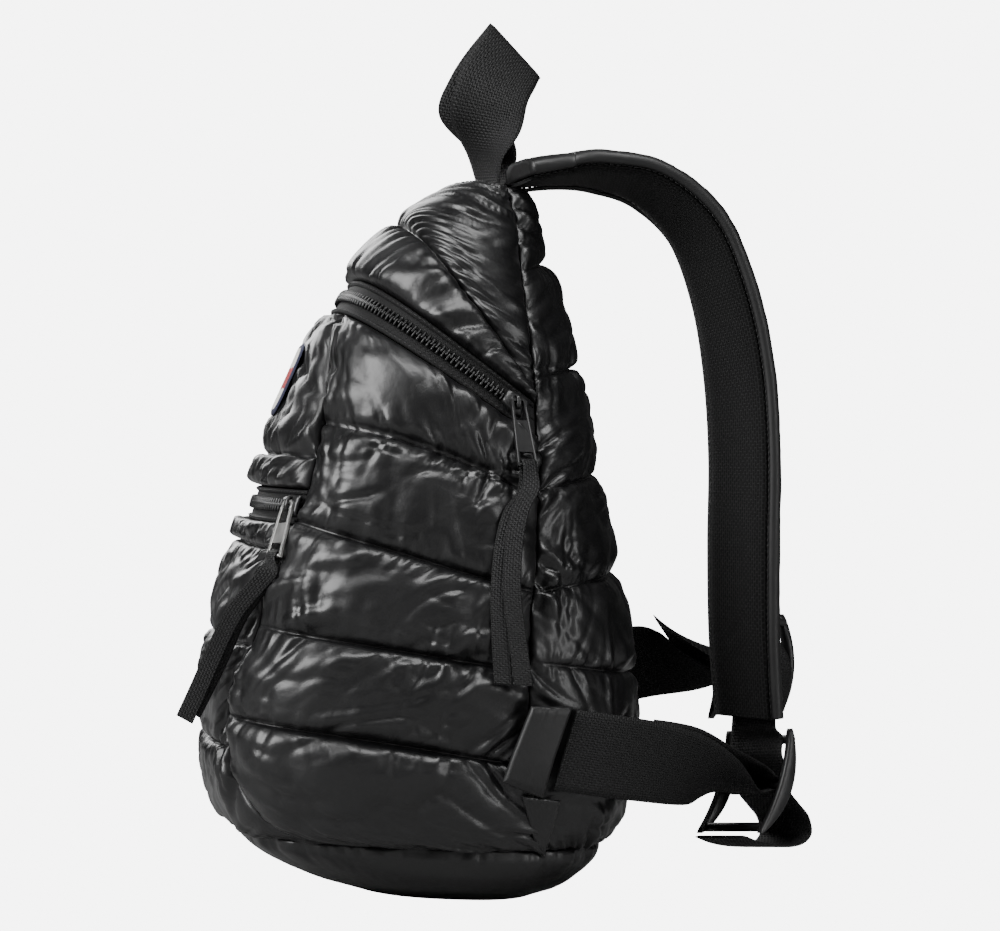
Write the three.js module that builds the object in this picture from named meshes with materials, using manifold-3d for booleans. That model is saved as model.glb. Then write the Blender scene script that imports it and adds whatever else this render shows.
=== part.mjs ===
// Quilted puffer backpack, standing on its base. Millimetres, +Z up.
// The front pocket faces -Y, the back panel and the shoulder straps face +Y, and +X is the side
// whose main slider hangs at the end of the zip. The origin is on the resting face of the base.
import * as THREE from "three";
import { mergeVertices } from "three/addons/utils/BufferGeometryUtils.js";
import Module from "manifold-3d";

const wasm = await Module();
wasm.setup();

// Driving sizes of the bag
const bodyHeight = 380;
const bodyDepth = 222;
const bodyWidth = 244;
const baseEdgeHeight = 30;
const quiltWall = 3;
const baseWall = 4;
const sidePuff = 10;
const frontPuff = 8;
const backPuff = 8;
const capPuff = 9;
const basePuff = 5;
const seamGap = 1;
const bindingThickness = 3;
const rowStep = 10;

// Zips: a moulded chain on woven tape
const tapeThickness = 1.2;
const chainWidth = 7;
const chainHeight = 2.6;
const partGap = 0.3;
const pocketZipHeight = 193;
const zipOpening = 18;
const pullerLength = 37;
const pocketPullerLength = 30;
const pullerTopWidth = 8.4;
const pullerFootWidth = 11.6;
const pullerThickness = 1.6;
const bridgeHeight = 3.6;
const ribbonWidth = 9.5;
const ribbonThickness = 1;

// Straps, webbing and buckles
const padWidth = 66;
const padThickness = 10;
const liningThickness = 2;
const liningGap = 0.9;
const webbingWidth = 43;
const webbingThickness = 1.6;
const handleWidth = 41;
const buckleLength = 60;
const buckleBow = 11;
const buckleRail = 4.5;
const buckleBar = 5;
const badgeWidth = 34;
const badgeHeight = 40;
const badgeLevel = 267;
const badgeThickness = 1.2;

// Sections of the body at its quilting lines, as shares of the driving sizes: height above the
// base, front and back reach from the origin, half width, and how square the front corners and
// the back corners are (2 is an ellipse).
const sections = [
  { height: 0.0, front: -0.27, back: 0.2, half: 0.33, squareFront: 2.6, squareBack: 2.4 },
  { height: 0.026, front: -0.4, back: 0.27, half: 0.41, squareFront: 2.8, squareBack: 2.5 },
  { height: 0.066, front: -0.515, back: 0.33, half: 0.452, squareFront: 3.4, squareBack: 2.6 },
  { height: 0.13, front: -0.58, back: 0.372, half: 0.485, squareFront: 4.0, squareBack: 2.7 },
  { height: 0.21, front: -0.606, back: 0.392, half: 0.5, squareFront: 4.2, squareBack: 2.7 },
  { height: 0.29, front: -0.604, back: 0.392, half: 0.5, squareFront: 4.0, squareBack: 2.7 },
  { height: 0.395, front: -0.578, back: 0.356, half: 0.49, squareFront: 3.6, squareBack: 2.7 },
  { height: 0.5, front: -0.537, back: 0.31, half: 0.467, squareFront: 3.2, squareBack: 2.7 },
  { height: 0.6, front: -0.495, back: 0.268, half: 0.434, squareFront: 2.9, squareBack: 2.7 },
  { height: 0.71, front: -0.425, back: 0.225, half: 0.39, squareFront: 2.7, squareBack: 2.6 },
  { height: 0.815, front: -0.355, back: 0.175, half: 0.332, squareFront: 2.5, squareBack: 2.5 },
  { height: 0.89, front: -0.272, back: 0.136, half: 0.272, squareFront: 2.4, squareBack: 2.4 },
  { height: 0.95, front: -0.16, back: 0.098, half: 0.205, squareFront: 2.3, squareBack: 2.3 },
  { height: 0.985, front: -0.066, back: 0.075, half: 0.16, squareFront: 2.3, squareBack: 2.3 },
  { height: 1.0, front: -0.014, back: 0.066, half: 0.135, squareFront: 2.3, squareBack: 2.3 },
];

// Seams between the panels, seen from the side: height and place front to back, as shares of
// the body's height and depth.
const frontSeam = [
  { height: 0.079, place: -0.32 },
  { height: 0.092, place: -0.437 },
  { height: 0.116, place: -0.505 },
  { height: 0.15, place: -0.55 },
  { height: 0.197, place: -0.58 },
  { height: 0.245, place: -0.585 },
  { height: 0.292, place: -0.572 },
  { height: 0.347, place: -0.541 },
  { height: 0.416, place: -0.514 },
  { height: 0.487, place: -0.473 },
  { height: 0.555, place: -0.428 },
  { height: 0.626, place: -0.405 },
  { height: 0.708, place: -0.378 },
  { height: 0.82, place: -0.345 },
];
const backSeam = [
  { height: 0.079, place: 0.155 },
  { height: 0.176, place: 0.108 },
  { height: 0.287, place: 0.09 },
  { height: 0.368, place: 0.086 },
  { height: 0.476, place: 0.095 },
  { height: 0.558, place: 0.097 },
  { height: 0.695, place: 0.09 },
  { height: 0.792, place: 0.072 },
  { height: 0.921, place: 0.05 },
  { height: 1.0, place: 0.03 },
];

// Lines that are straight seen from the side: height at the origin's upright, as a share of
// bodyHeight, and how much they climb towards the front.
const zipLow = { level: 0.676, climb: 0.63 };
const zipHigh = { level: 0.726, climb: 0.7 };
const capLine = { level: 0.771, climb: 1.35 };

// Quilting lines of the side, back, pocket and upper front panels: heights at the panel's two
// edges as shares of bodyHeight, and how far the middle bows up in the same share.
const sideLines = [
  { first: 0.245, last: 0.197, bow: 0.002 },
  { first: 0.368, last: 0.326, bow: 0.0 },
  { first: 0.513, last: 0.432, bow: 0.0 },
  { first: 0.647, last: 0.565, bow: 0.014 },
];
const backLines = [
  { first: 0.34, last: 0.34, bow: -0.022 },
  { first: 0.432, last: 0.432, bow: 0.03 },
  { first: 0.571, last: 0.571, bow: 0.028 },
  { first: 0.724, last: 0.724, bow: 0.024 },
  { first: 0.874, last: 0.874, bow: 0.022 },
];
const pocketLines = [
  { first: 0.2, last: 0.2, bow: 0.0 },
  { first: 0.34, last: 0.34, bow: 0.0 },
  { first: 0.47, last: 0.47, bow: 0.006 },
];
const upperFrontLines = [{ first: 0.6, last: 0.6, bow: 0.0 }];
const frontColumns = [0.24, 0.76];

// A smooth rise between table rows that never overshoots them
function tableCurve(rows, key, value) {
  const xs = rows.map((row) => row[key]);
  const ys = rows.map((row) => row[value]);
  const slopes = xs.slice(1).map((x, i) => (ys[i + 1] - ys[i]) / (x - xs[i]));
  const tangents = xs.map((x, i) => {
    if (i === 0) return slopes[0];
    if (i === xs.length - 1) return slopes[i - 1];
    const [before, after] = [slopes[i - 1], slopes[i]];
    return before * after <= 0 ? 0 : (2 * before * after) / (before + after);
  });
  return (x) => {
    const clamped = Math.min(Math.max(x, xs[0]), xs[xs.length - 1]);
    let i = 0;
    while (i < xs.length - 2 && clamped > xs[i + 1]) i += 1;
    const span = xs[i + 1] - xs[i];
    const t = (clamped - xs[i]) / span;
    const rise = t * t * (3 - 2 * t);
    return (
      ys[i] + (ys[i + 1] - ys[i]) * rise +
      tangents[i] * span * t * (1 - t) * (1 - t) -
      tangents[i + 1] * span * t * t * (1 - t)
    );
  };
}

const sectionCurves = Object.fromEntries(
  ["front", "back", "half", "squareFront", "squareBack"].map((column) => [
    column,
    tableCurve(sections, "height", column),
  ]),
);

// A point of the body at the level of its quilting lines: angle 0 is the middle of the front,
// a quarter turn the +X side and a half turn the middle of the back.
function bodyPoint(angle, z) {
  const share = z / bodyHeight;
  const front = sectionCurves.front(share) * bodyDepth;
  const back = sectionCurves.back(share) * bodyDepth;
  const half = sectionCurves.half(share) * bodyWidth;
  const [sine, cosine] = [Math.sin(angle), Math.cos(angle)];
  const toBack = (1 - cosine) / 2;
  const square =
    sectionCurves.squareFront(share) * (1 - toBack) + sectionCurves.squareBack(share) * toBack;
  const norm = (Math.abs(sine) ** square + Math.abs(cosine) ** square) ** (1 / square);
  const middle = (front + back) / 2;
  const depth = (back - front) / 2;
  return new THREE.Vector3((half * sine) / norm, middle - (depth * cosine) / norm, z);
}

// The outward direction of the body there, from two short steps along it
function bodyNormal(angle, z) {
  const step = 0.01;
  const low = Math.max(z - 1, 0.5);
  const high = Math.min(z + 1, bodyHeight - 0.5);
  const around = bodyPoint(angle + step, z).sub(bodyPoint(angle - step, z));
  const upward = bodyPoint(angle, high).sub(bodyPoint(angle, low));
  return around.cross(upward).normalize();
}

// The angle on the +X side at which the body's surface lies at a place front to back
function angleAt(z, place) {
  let [low, high] = [0.02, Math.PI - 0.02];
  for (let i = 0; i < 40; i += 1) {
    const middle = (low + high) / 2;
    if (bodyPoint(middle, z).y < place) low = middle;
    else high = middle;
  }
  return (low + high) / 2;
}

// The angle near the front at which the body's surface lies at a distance across
function angleAcross(z, across) {
  let [low, high] = [-1.2, 1.2];
  for (let i = 0; i < 40; i += 1) {
    const middle = (low + high) / 2;
    if (bodyPoint(middle, z).x < across) low = middle;
    else high = middle;
  }
  return (low + high) / 2;
}

const seamAngle = (rows) => {
  const place = tableCurve(rows, "height", "place");
  return (z) => angleAt(z, place(z / bodyHeight) * bodyDepth);
};
const frontSeamAngle = seamAngle(frontSeam);
const backSeamAngle = seamAngle(backSeam);

// The height at which a straight slanting line crosses the body at an angle
function slantHeight(line, angle) {
  let [low, high] = [baseEdgeHeight, bodyHeight];
  for (let i = 0; i < 40; i += 1) {
    const z = (low + high) / 2;
    const over = z + line.climb * bodyPoint(angle, z).y - line.level * bodyHeight;
    if (over < 0) low = z;
    else high = z;
  }
  return (low + high) / 2;
}

// A height along a line from one edge of a panel to the other
function lineHeight(line, share, angle) {
  if (line.climb !== undefined) return slantHeight(line, angle);
  const straight = line.first + (line.last - line.first) * share;
  return (straight + line.bow * 4 * share * (1 - share)) * bodyHeight;
}

// How full a channel is, 0 on its quilting lines and 1 in its middle
const fullness = (share) => Math.sqrt(Math.max(0, 1 - Math.abs(2 * share - 1) ** 3));

function closedMesh(points, triangles) {
  const geometry = new THREE.BufferGeometry();
  const flat = points.flatMap((p) => [p.x, p.y, p.z]);
  geometry.setAttribute("position", new THREE.Float32BufferAttribute(flat, 3));
  geometry.setIndex(triangles);
  return geometry;
}

// A closed solid between an outer and an inner grid of points of the same size
function slabBetween(outer, inner) {
  const [rows, columns] = [outer.length, outer[0].length];
  const points = [...outer.flat(), ...inner.flat()];
  const inside = rows * columns;
  const triangles = [];
  const quad = (a, b, c, d) => triangles.push(a, b, c, a, c, d);
  for (let i = 0; i < rows - 1; i += 1)
    for (let j = 0; j < columns - 1; j += 1) {
      const a = i * columns + j;
      const above = a + columns;
      quad(a, a + 1, above + 1, above);
      quad(inside + a, inside + above, inside + above + 1, inside + a + 1);
    }
  for (let j = 0; j < columns - 1; j += 1) {
    const top = (rows - 1) * columns + j;
    quad(j + 1, j, inside + j, inside + j + 1);
    quad(top, top + 1, inside + top + 1, inside + top);
  }
  for (let i = 0; i < rows - 1; i += 1) {
    const left = i * columns;
    const right = left + columns - 1;
    quad(left, left + columns, inside + left + columns, inside + left);
    quad(right + columns, right, inside + right, inside + right + columns);
  }
  return closedMesh(points, triangles);
}

// Steps across one channel, closer together at its lines, where the cover turns down
function channelSteps(size, step) {
  const count = Math.max(4, Math.round(size / step));
  return Array.from({ length: count }, (_, i) => {
    const share = i / count;
    return share - (Math.sin(2 * Math.PI * share) / (2 * Math.PI)) * 0.4;
  });
}

// A quilted panel between two seams of the body, from its lowest line to its highest. Columns
// are the shares of its width that have vertical seams.
function quiltedPanel({ left, right, lines, puff, cells, columns = [], wall = quiltWall }) {
  const seams = [0, ...columns, 1];
  const across = [];
  for (let k = 0; k < seams.length - 1; k += 1) {
    const width = seams[k + 1] - seams[k];
    for (const share of channelSteps(width, 1 / cells))
      across.push({ s: seams[k] + width * share, fill: fullness(share) });
  }
  across.push({ s: 1, fill: 0 });
  const levels = [];
  for (let k = 0; k < lines.length - 1; k += 1) {
    const tall = lineHeight(lines[k + 1], 1, 1.9) - lineHeight(lines[k], 1, 1.9);
    for (const share of channelSteps(tall, rowStep)) levels.push({ k, share });
  }
  levels.push({ k: lines.length - 2, share: 1 });
  const heights = (level, s, angle) => {
    const low = lineHeight(lines[level.k], s, angle);
    const high = lineHeight(lines[level.k + 1], s, angle);
    return low + (high - low) * level.share;
  };
  const edgeAngle = (level, s, seam) => {
    let angle = seam(heights(level, s, s ? 1.5 : 1));
    for (let i = 0; i < 12; i += 1) angle = seam(heights(level, s, Math.abs(angle)));
    return angle;
  };
  const [outer, inner] = [[], []];
  levels.forEach((level, row) => {
    const from = edgeAngle(level, 0, left);
    const to = edgeAngle(level, 1, right);
    const [outerRow, innerRow] = [[], []];
    const lift = row === 0 ? seamGap / 2 : row === levels.length - 1 ? -seamGap / 2 : 0;
    for (const { s, fill } of across) {
      const angle = from + (to - from) * s;
      const z = heights(level, s, Math.abs(angle)) + lift;
      const reach = bodyPoint(angle + 0.01, z).distanceTo(bodyPoint(angle - 0.01, z)) / 0.02;
      const inset = s === 0 ? seamGap / 2 / reach : s === 1 ? -seamGap / 2 / reach : 0;
      const point = bodyPoint(angle + inset, z);
      const normal = bodyNormal(angle + inset, z);
      const height = puff * fullness(level.share) * fill;
      outerRow.push(point.clone().addScaledVector(normal, height));
      innerRow.push(point.clone().addScaledVector(normal, -wall));
    }
    outer.push(outerRow);
    inner.push(innerRow);
  });
  return slabBetween(outer, inner);
}

// The other side's copy of a geometry
function mirrored(geometry) {
  const copy = geometry.clone().scale(-1, 1, 1);
  const index = copy.getIndex().array;
  for (let i = 0; i < index.length; i += 3) [index[i + 1], index[i + 2]] = [index[i + 2], index[i + 1]];
  return copy;
}

// The base: a rounded tray from the panels' lower edge down to its flat resting face
function baseTray() {
  const count = 40;
  const rings = [
    { z: baseEdgeHeight + seamGap / 2 - partGap, scale: 1, puff: 0 },
    { z: baseEdgeHeight * 0.8, scale: 1, puff: 0.75 },
    { z: baseEdgeHeight * 0.5, scale: 1, puff: 1 },
    { z: baseEdgeHeight * 0.2, scale: 1, puff: 0.8 },
    { z: 0, scale: 1, puff: 0 },
    { z: 0, scale: 0.5, puff: 0 },
  ];
  const [outer, inner] = [[], []];
  for (const ring of rings) {
    const middle = bodyPoint(0, ring.z).y + bodyPoint(Math.PI, ring.z).y;
    const centre = new THREE.Vector3(0, middle / 2, ring.z);
    const outerRow = [];
    const innerRow = [];
    for (let j = 0; j < count; j += 1) {
      const angle = (2 * Math.PI * j) / count;
      const point = bodyPoint(angle, ring.z);
      const normal = bodyNormal(angle, ring.z);
      const flat = new THREE.Vector3(normal.x, normal.y, 0).normalize();
      const place = centre.clone().lerp(point, ring.scale);
      const out = place.clone().addScaledVector(flat, basePuff * ring.puff);
      outerRow.push(out);
      const raised = ring.z < baseWall ? baseWall - ring.z : 0;
      innerRow.push(
        place.clone().addScaledVector(flat, ring.scale === 1 ? -baseWall : 0).setZ(ring.z + raised),
      );
    }
    outer.push(outerRow);
    inner.push(innerRow);
  }
  const points = [...outer.flat(), ...inner.flat()];
  const inside = rings.length * count;
  const triangles = [];
  const quad = (a, b, c, d) => triangles.push(a, b, c, a, c, d);
  for (let i = 0; i < rings.length - 1; i += 1)
    for (let j = 0; j < count; j += 1) {
      const next = (j + 1) % count;
      const [a, b] = [i * count + j, i * count + next];
      quad(a + count, b + count, b, a);
      quad(inside + a, inside + b, inside + b + count, inside + a + count);
    }
  const last = (rings.length - 1) * count;
  const hub = points.length;
  const middle = (bodyPoint(0, 0).y + bodyPoint(Math.PI, 0).y) / 2;
  points.push(new THREE.Vector3(0, middle, 0), new THREE.Vector3(0, middle, baseWall));
  for (let j = 0; j < count; j += 1) {
    const next = (j + 1) % count;
    quad(j, next, inside + next, inside + j);
    triangles.push(last + next, last + j, hub);
    triangles.push(inside + last + j, inside + last + next, hub + 1);
  }
  return closedMesh(points, triangles);
}

// The angle at which a share of a zip's opening meets a seam of the body
function bandEnd({ low, high, seam }, share) {
  let angle = Math.PI / 2;
  for (let i = 0; i < 12; i += 1) {
    const bottom = lineHeight(low, 0.5, angle);
    angle = seam(bottom + (lineHeight(high, 0.5, angle) - bottom) * share);
  }
  return angle - (2 * seamGap) / bodyWidth;
}

// A point over a zip's opening: a share of the way up it and a share of the way round it
function overZip(zip, share, round, lift) {
  const angle = bandEnd(zip, share) * round;
  const bottom = lineHeight(zip.low, 0.5, Math.abs(angle));
  const z = bottom + (lineHeight(zip.high, 0.5, Math.abs(angle)) - bottom) * share;
  return bodyPoint(angle, z).addScaledVector(bodyNormal(angle, z), lift);
}

// A band that follows the body along a zip's opening, its inner face lifted off the body
function zipBand(zip, { from, to, reach, cells, lift, thickness }) {
  const grid = (height) =>
    [from, (from + to) / 2, to].map((share) =>
      Array.from({ length: cells + 1 }, (_, j) =>
        overZip(zip, share, reach * ((2 * j) / cells - 1), height),
      ),
    );
  return slabBetween(grid(lift + thickness), grid(lift));
}

// Where a zip's slider sits on its chain: its place, the way the chain runs and the way out
function sliderPlace(zip, round) {
  const top = partGap + chainHeight + partGap;
  const place = overZip(zip, 0.5, round, top);
  const run = overZip(zip, 0.5, round + 0.02, top).sub(overZip(zip, 0.5, round - 0.02, top));
  const rise = overZip(zip, 0.6, round, top).sub(overZip(zip, 0.4, round, top));
  const out = run.clone().cross(rise).normalize();
  return { place, run: run.normalize(), out };
}

// A place over the +X side of the bag: distance front to back as a share of bodyDepth, height as
// a share of bodyHeight, distance off the body as a share of sidePuff
function overSide([place, height, lift], extra = 0) {
  const z = height * bodyHeight;
  const angle = angleAt(z, place * bodyDepth);
  return bodyPoint(angle, z).addScaledVector(bodyNormal(angle, z), lift * sidePuff + extra);
}

// A sheet that lies on the +X side of the bag
function sideSheet(rows, thickness) {
  const grid = (extra) => rows.map((row) => row.map((place) => overSide(place, extra)));
  return slabBetween(grid(thickness), grid(0));
}

// A smooth value through the rows of a route, every row being passed
function routeValue(rows, column, t) {
  const i = Math.min(Math.floor(t), rows.length - 2);
  const f = t - i;
  const at = (k) => rows[Math.min(Math.max(k, 0), rows.length - 1)][column];
  const [a, b, c, d] = [at(i - 1), at(i), at(i + 1), at(i + 2)];
  return (
    b + 0.5 * f * (c - a + f * (2 * a - 5 * b + 4 * c - d + f * (3 * (b - c) + d - a)))
  );
}

// Sweeps a section along a route. Each row has a point, the direction across the band and its
// width; section(width) gives corners as distances across and off the band's face.
function sweep(rows, perRow, section, square = false) {
  const count = (rows.length - 1) * perRow;
  const point = (t) =>
    new THREE.Vector3(...["x", "y", "z"].map((axis) => routeValue(rows, axis, t)));
  const rings = [];
  for (let i = 0; i <= count; i += 1) {
    const t = i / perRow;
    const tangent = point(Math.min(t + 0.05, rows.length - 1))
      .sub(point(Math.max(t - 0.05, 0)))
      .normalize();
    const across = new THREE.Vector3(
      ...["acrossX", "acrossY", "acrossZ"].map((axis) => routeValue(rows, axis, t)),
    );
    if (square) across.addScaledVector(tangent, -across.dot(tangent));
    across.normalize();
    const off = tangent.clone().cross(across).normalize();
    const centre = point(t);
    rings.push(
      section(routeValue(rows, "width", t)).map(([a, b]) =>
        centre.clone().addScaledVector(across, a).addScaledVector(off, b),
      ),
    );
  }
  const corners = rings[0].length;
  // Both broad faces are split along one diagonal, so that they stay clear of each other where
  // the band twists
  const triangles = [];
  for (let i = 0; i < count; i += 1)
    for (let j = 0; j < corners; j += 1) {
      const next = (j + 1) % corners;
      const [a, b] = [i * corners + j, i * corners + next];
      const [c, d] = [a + corners, b + corners];
      if (j < corners / 2) triangles.push(a, b, d, a, d, c);
      else triangles.push(a, b, c, b, d, c);
    }
  const last = count * corners;
  for (let j = 1; j < corners - 1; j += 1) {
    triangles.push(0, j + 1, j);
    triangles.push(last, last + j, last + j + 1);
  }
  return closedMesh(rings.flat(), triangles);
}

// Sections of a flat band, a padded strap and the lining under it, counter-clockwise
const bandSection = (thickness) => (width) => [
  [-width / 2, -thickness / 2],
  [width / 2, -thickness / 2],
  [width / 2, thickness / 2],
  [-width / 2, thickness / 2],
];
const padSection = (width) => {
  const [half, top, bottom] = [width / 2, -padThickness, 0];
  return [
    [-half + 2, bottom],
    [-half, bottom - 3],
    [-half + 3, top + 3],
    [-half * 0.55, top],
    [half * 0.55, top],
    [half - 3, top + 3],
    [half, bottom - 3],
    [half - 2, bottom],
  ];
};
const liningSection = (width) => {
  const half = width / 2 - 4;
  return [
    [-half, liningGap],
    [half, liningGap],
    [half - 1, liningGap + liningThickness],
    [-half + 1, liningGap + liningThickness],
  ];
};

// Turns rows of x, y and z given as shares of the body's width, depth and height into places
const sized = (rows) =>
  rows.map((row) => ({
    ...row,
    x: row.x * bodyWidth,
    y: row.y * bodyDepth,
    z: row.z * bodyHeight,
  }));

// The routes of the two shoulder pads, from the top seam down to their webbing. Turn is the
// angle in degrees by which the pad's outer edge swings away from the bag, width a share of
// padWidth.
const padRouteRight = [
  { x: 0.164, y: 0.0608, z: 1.0098, turn: 3, width: 0.56 },
  { x: 0.1352, y: 0.1712, z: 1.0211, turn: 5, width: 0.88 },
  { x: 0.1516, y: 0.2703, z: 1.0224, turn: 8, width: 0.97 },
  { x: 0.1639, y: 0.3829, z: 1.0053, turn: 12, width: 1 },
  { x: 0.1762, y: 0.491, z: 0.95, turn: 16, width: 1 },
  { x: 0.1844, y: 0.5631, z: 0.8579, turn: 18, width: 1 },
  { x: 0.1885, y: 0.6081, z: 0.75, turn: 20, width: 1 },
  { x: 0.1926, y: 0.6306, z: 0.6316, turn: 20, width: 1 },
  { x: 0.1926, y: 0.6396, z: 0.5053, turn: 20, width: 1 },
  { x: 0.1926, y: 0.6532, z: 0.3763, turn: 20, width: 0.98 },
  { x: 0.1926, y: 0.6757, z: 0.2632, turn: 20, width: 0.94 },
];
const padRouteLeft = [
  { x: -0.164, y: 0.0608, z: 1.0098, turn: -3, width: 0.56 },
  { x: -0.1352, y: 0.1757, z: 1.0211, turn: -5, width: 0.88 },
  { x: -0.1516, y: 0.2793, z: 1.0224, turn: -8, width: 0.97 },
  { x: -0.168, y: 0.3964, z: 1.0079, turn: -11, width: 1 },
  { x: -0.1844, y: 0.5135, z: 0.9579, turn: -14, width: 1 },
  { x: -0.1926, y: 0.5991, z: 0.8684, turn: -16, width: 1 },
  { x: -0.1967, y: 0.6532, z: 0.7632, turn: -17, width: 1 },
  { x: -0.1967, y: 0.6802, z: 0.65, turn: -18, width: 1 },
  { x: -0.1926, y: 0.6892, z: 0.5579, turn: -20, width: 1 },
  { x: -0.1926, y: 0.7072, z: 0.4947, turn: -27, width: 0.98 },
  { x: -0.1967, y: 0.7297, z: 0.4368, turn: -43, width: 0.94 },
];

// Gives a pad's rows their direction across, from the turn and the way the route runs
function padRows(shares) {
  const route = sized(shares);
  return route.map((row, i) => {
    const before = route[Math.max(i - 1, 0)];
    const after = route[Math.min(i + 1, route.length - 1)];
    const along = new THREE.Vector2(after.y - before.y, after.z - before.z).normalize();
    const turn = THREE.MathUtils.degToRad(row.turn);
    return {
      ...row,
      width: row.width * padWidth,
      acrossX: Math.cos(turn),
      acrossY: Math.sin(turn) * -along.y,
      acrossZ: Math.sin(turn) * along.x,
    };
  });
}

// A buckle's place: its middle and its directions across, along the strap and outwards
function buckleFrame(centre, across, along) {
  const x = new THREE.Vector3(...across).normalize();
  const y = new THREE.Vector3(...along);
  y.addScaledVector(x, -y.dot(x)).normalize();
  const middle = new THREE.Vector3(...centre);
  middle.multiply(new THREE.Vector3(bodyWidth, bodyDepth, bodyHeight));
  return { centre: middle, x, y, z: x.clone().cross(y) };
}
const frameRight = buckleFrame([0.205, 0.6847, 0.171], [0.87, 0.46, 0.12], [0.29, -0.3, -0.95]);
const frameLeft = buckleFrame([-0.1926, 0.7703, 0.3211], [0.5, -0.866, 0], [0.05, -0.06, -1]);

// A row of a route near a buckle: distances along the strap and out of the buckle's face
function buckleRow(frame, along, out) {
  const point = frame.centre.clone().addScaledVector(frame.y, along).addScaledVector(frame.z, out);
  const { x, y, z } = point;
  return { x, y, z, acrossX: frame.x.x, acrossY: frame.x.y, acrossZ: frame.x.z };
}

// The webbing turns back round the buckle's middle bar, clear of it all the way
const barMiddle = buckleBow * 0.6;
const turnRadius = buckleBar / 2 + webbingThickness / 2 + partGap;
const turnRows = (frame) =>
  [-90, -45, 0, 45, 90].map((degrees) => {
    const angle = THREE.MathUtils.degToRad(degrees);
    return buckleRow(
      frame,
      -Math.sin(angle) * turnRadius,
      barMiddle + Math.cos(angle) * turnRadius,
    );
  });

// Each side's lower webbing runs from its tab round the buckle's middle bar and back
const lowerRouteRight = [
  ...sized([
    { x: 0.5164, y: 0.1779, z: 0.2237, acrossX: -0.08, acrossY: 0.26, acrossZ: 1 },
    { x: 0.4877, y: 0.2883, z: 0.2158, acrossX: -0.03, acrossY: 0.12, acrossZ: 1 },
    { x: 0.4344, y: 0.4099, z: 0.2066, acrossX: 0.1, acrossY: 0.02, acrossZ: 1 },
    { x: 0.3689, y: 0.5135, z: 0.1947, acrossX: 0.4, acrossY: 0.1, acrossZ: 0.9 },
    { x: 0.2951, y: 0.5946, z: 0.1789, acrossX: 0.75, acrossY: 0.3, acrossZ: 0.55 },
  ]),
  buckleRow(frameRight, 7.6, -6.4),
  buckleRow(frameRight, turnRadius, 3),
  ...turnRows(frameRight),
  buckleRow(frameRight, -turnRadius, 3),
  buckleRow(frameRight, -6, -6),
  ...sized([
    { x: 0.2787, y: 0.5856, z: 0.1947, acrossX: 0.75, acrossY: 0.3, acrossZ: 0.55 },
    { x: 0.3504, y: 0.5023, z: 0.2039, acrossX: 0.4, acrossY: 0.1, acrossZ: 0.9 },
    { x: 0.416, y: 0.4009, z: 0.2092, acrossX: 0.1, acrossY: 0.02, acrossZ: 1 },
  ]),
];
const lowerRouteLeft = [
  ...sized([
    { x: -0.5164, y: 0.1779, z: 0.2237, acrossX: 0.08, acrossY: 0.26, acrossZ: 1 },
    { x: -0.4959, y: 0.2703, z: 0.2171, acrossX: 0.05, acrossY: 0.1, acrossZ: 1 },
    { x: -0.4754, y: 0.3423, z: 0.25, acrossX: 0.02, acrossY: -0.16, acrossZ: 1 },
    { x: -0.4467, y: 0.4144, z: 0.2868, acrossX: 0, acrossY: -0.25, acrossZ: 1 },
    { x: -0.3893, y: 0.5315, z: 0.3132, acrossX: 0.08, acrossY: -0.3, acrossZ: 0.95 },
    { x: -0.3443, y: 0.6216, z: 0.3184, acrossX: 0.22, acrossY: -0.6, acrossZ: 0.75 },
    { x: -0.2951, y: 0.6892, z: 0.3184, acrossX: 0.38, acrossY: -0.84, acrossZ: 0.3 },
  ]),
  buckleRow(frameLeft, turnRadius, -4),
  ...turnRows(frameLeft),
  buckleRow(frameLeft, -turnRadius, -4),
  ...sized([
    { x: -0.2951, y: 0.679, z: 0.3437, acrossX: 0.38, acrossY: -0.84, acrossZ: 0.3 },
    { x: -0.3443, y: 0.6036, z: 0.3448, acrossX: 0.22, acrossY: -0.6, acrossZ: 0.75 },
  ]),
];

// The pads' own webbing runs behind the buckle's first bar, out over the middle one and ends
// in a loose tail
const strapRouteRight = [
  ...sized([
    { x: 0.1869, y: 0.7, z: 0.2626, acrossX: 0.94, acrossY: 0.34, acrossZ: 0.03 },
    { x: 0.1852, y: 0.7018, z: 0.2487, acrossX: 0.93, acrossY: 0.36, acrossZ: 0.05 },
  ]),
  buckleRow(frameRight, -25, -1.6),
  buckleRow(frameRight, -16, 1.5),
  buckleRow(frameRight, -8, 9.5),
  buckleRow(frameRight, 0, 13.5),
  buckleRow(frameRight, 4, 22),
  buckleRow(frameRight, 8, 31),
  buckleRow(frameRight, 16, 36),
  buckleRow(frameRight, 24, 31),
  buckleRow(frameRight, 29, 20),
  buckleRow(frameRight, 33, 6),
  buckleRow(frameRight, 34, -6),
];
const strapRouteLeft = [
  ...sized([
    { x: -0.1869, y: 0.7475, z: 0.434, acrossX: 0.73, acrossY: -0.67, acrossZ: -0.12 },
    { x: -0.1902, y: 0.752, z: 0.4224, acrossX: 0.64, acrossY: -0.76, acrossZ: -0.06, width: 0.94 },
  ]),
  { ...buckleRow(frameLeft, -33, -4.5), width: 0.9 },
  { ...buckleRow(frameLeft, -25, -1.7), width: 0.94 },
  buckleRow(frameLeft, -16, 1.5),
  buckleRow(frameLeft, -8, 9.5),
  buckleRow(frameLeft, 0, 13.5),
  buckleRow(frameLeft, 12, 12.5),
  buckleRow(frameLeft, 25, 9),
];

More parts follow.
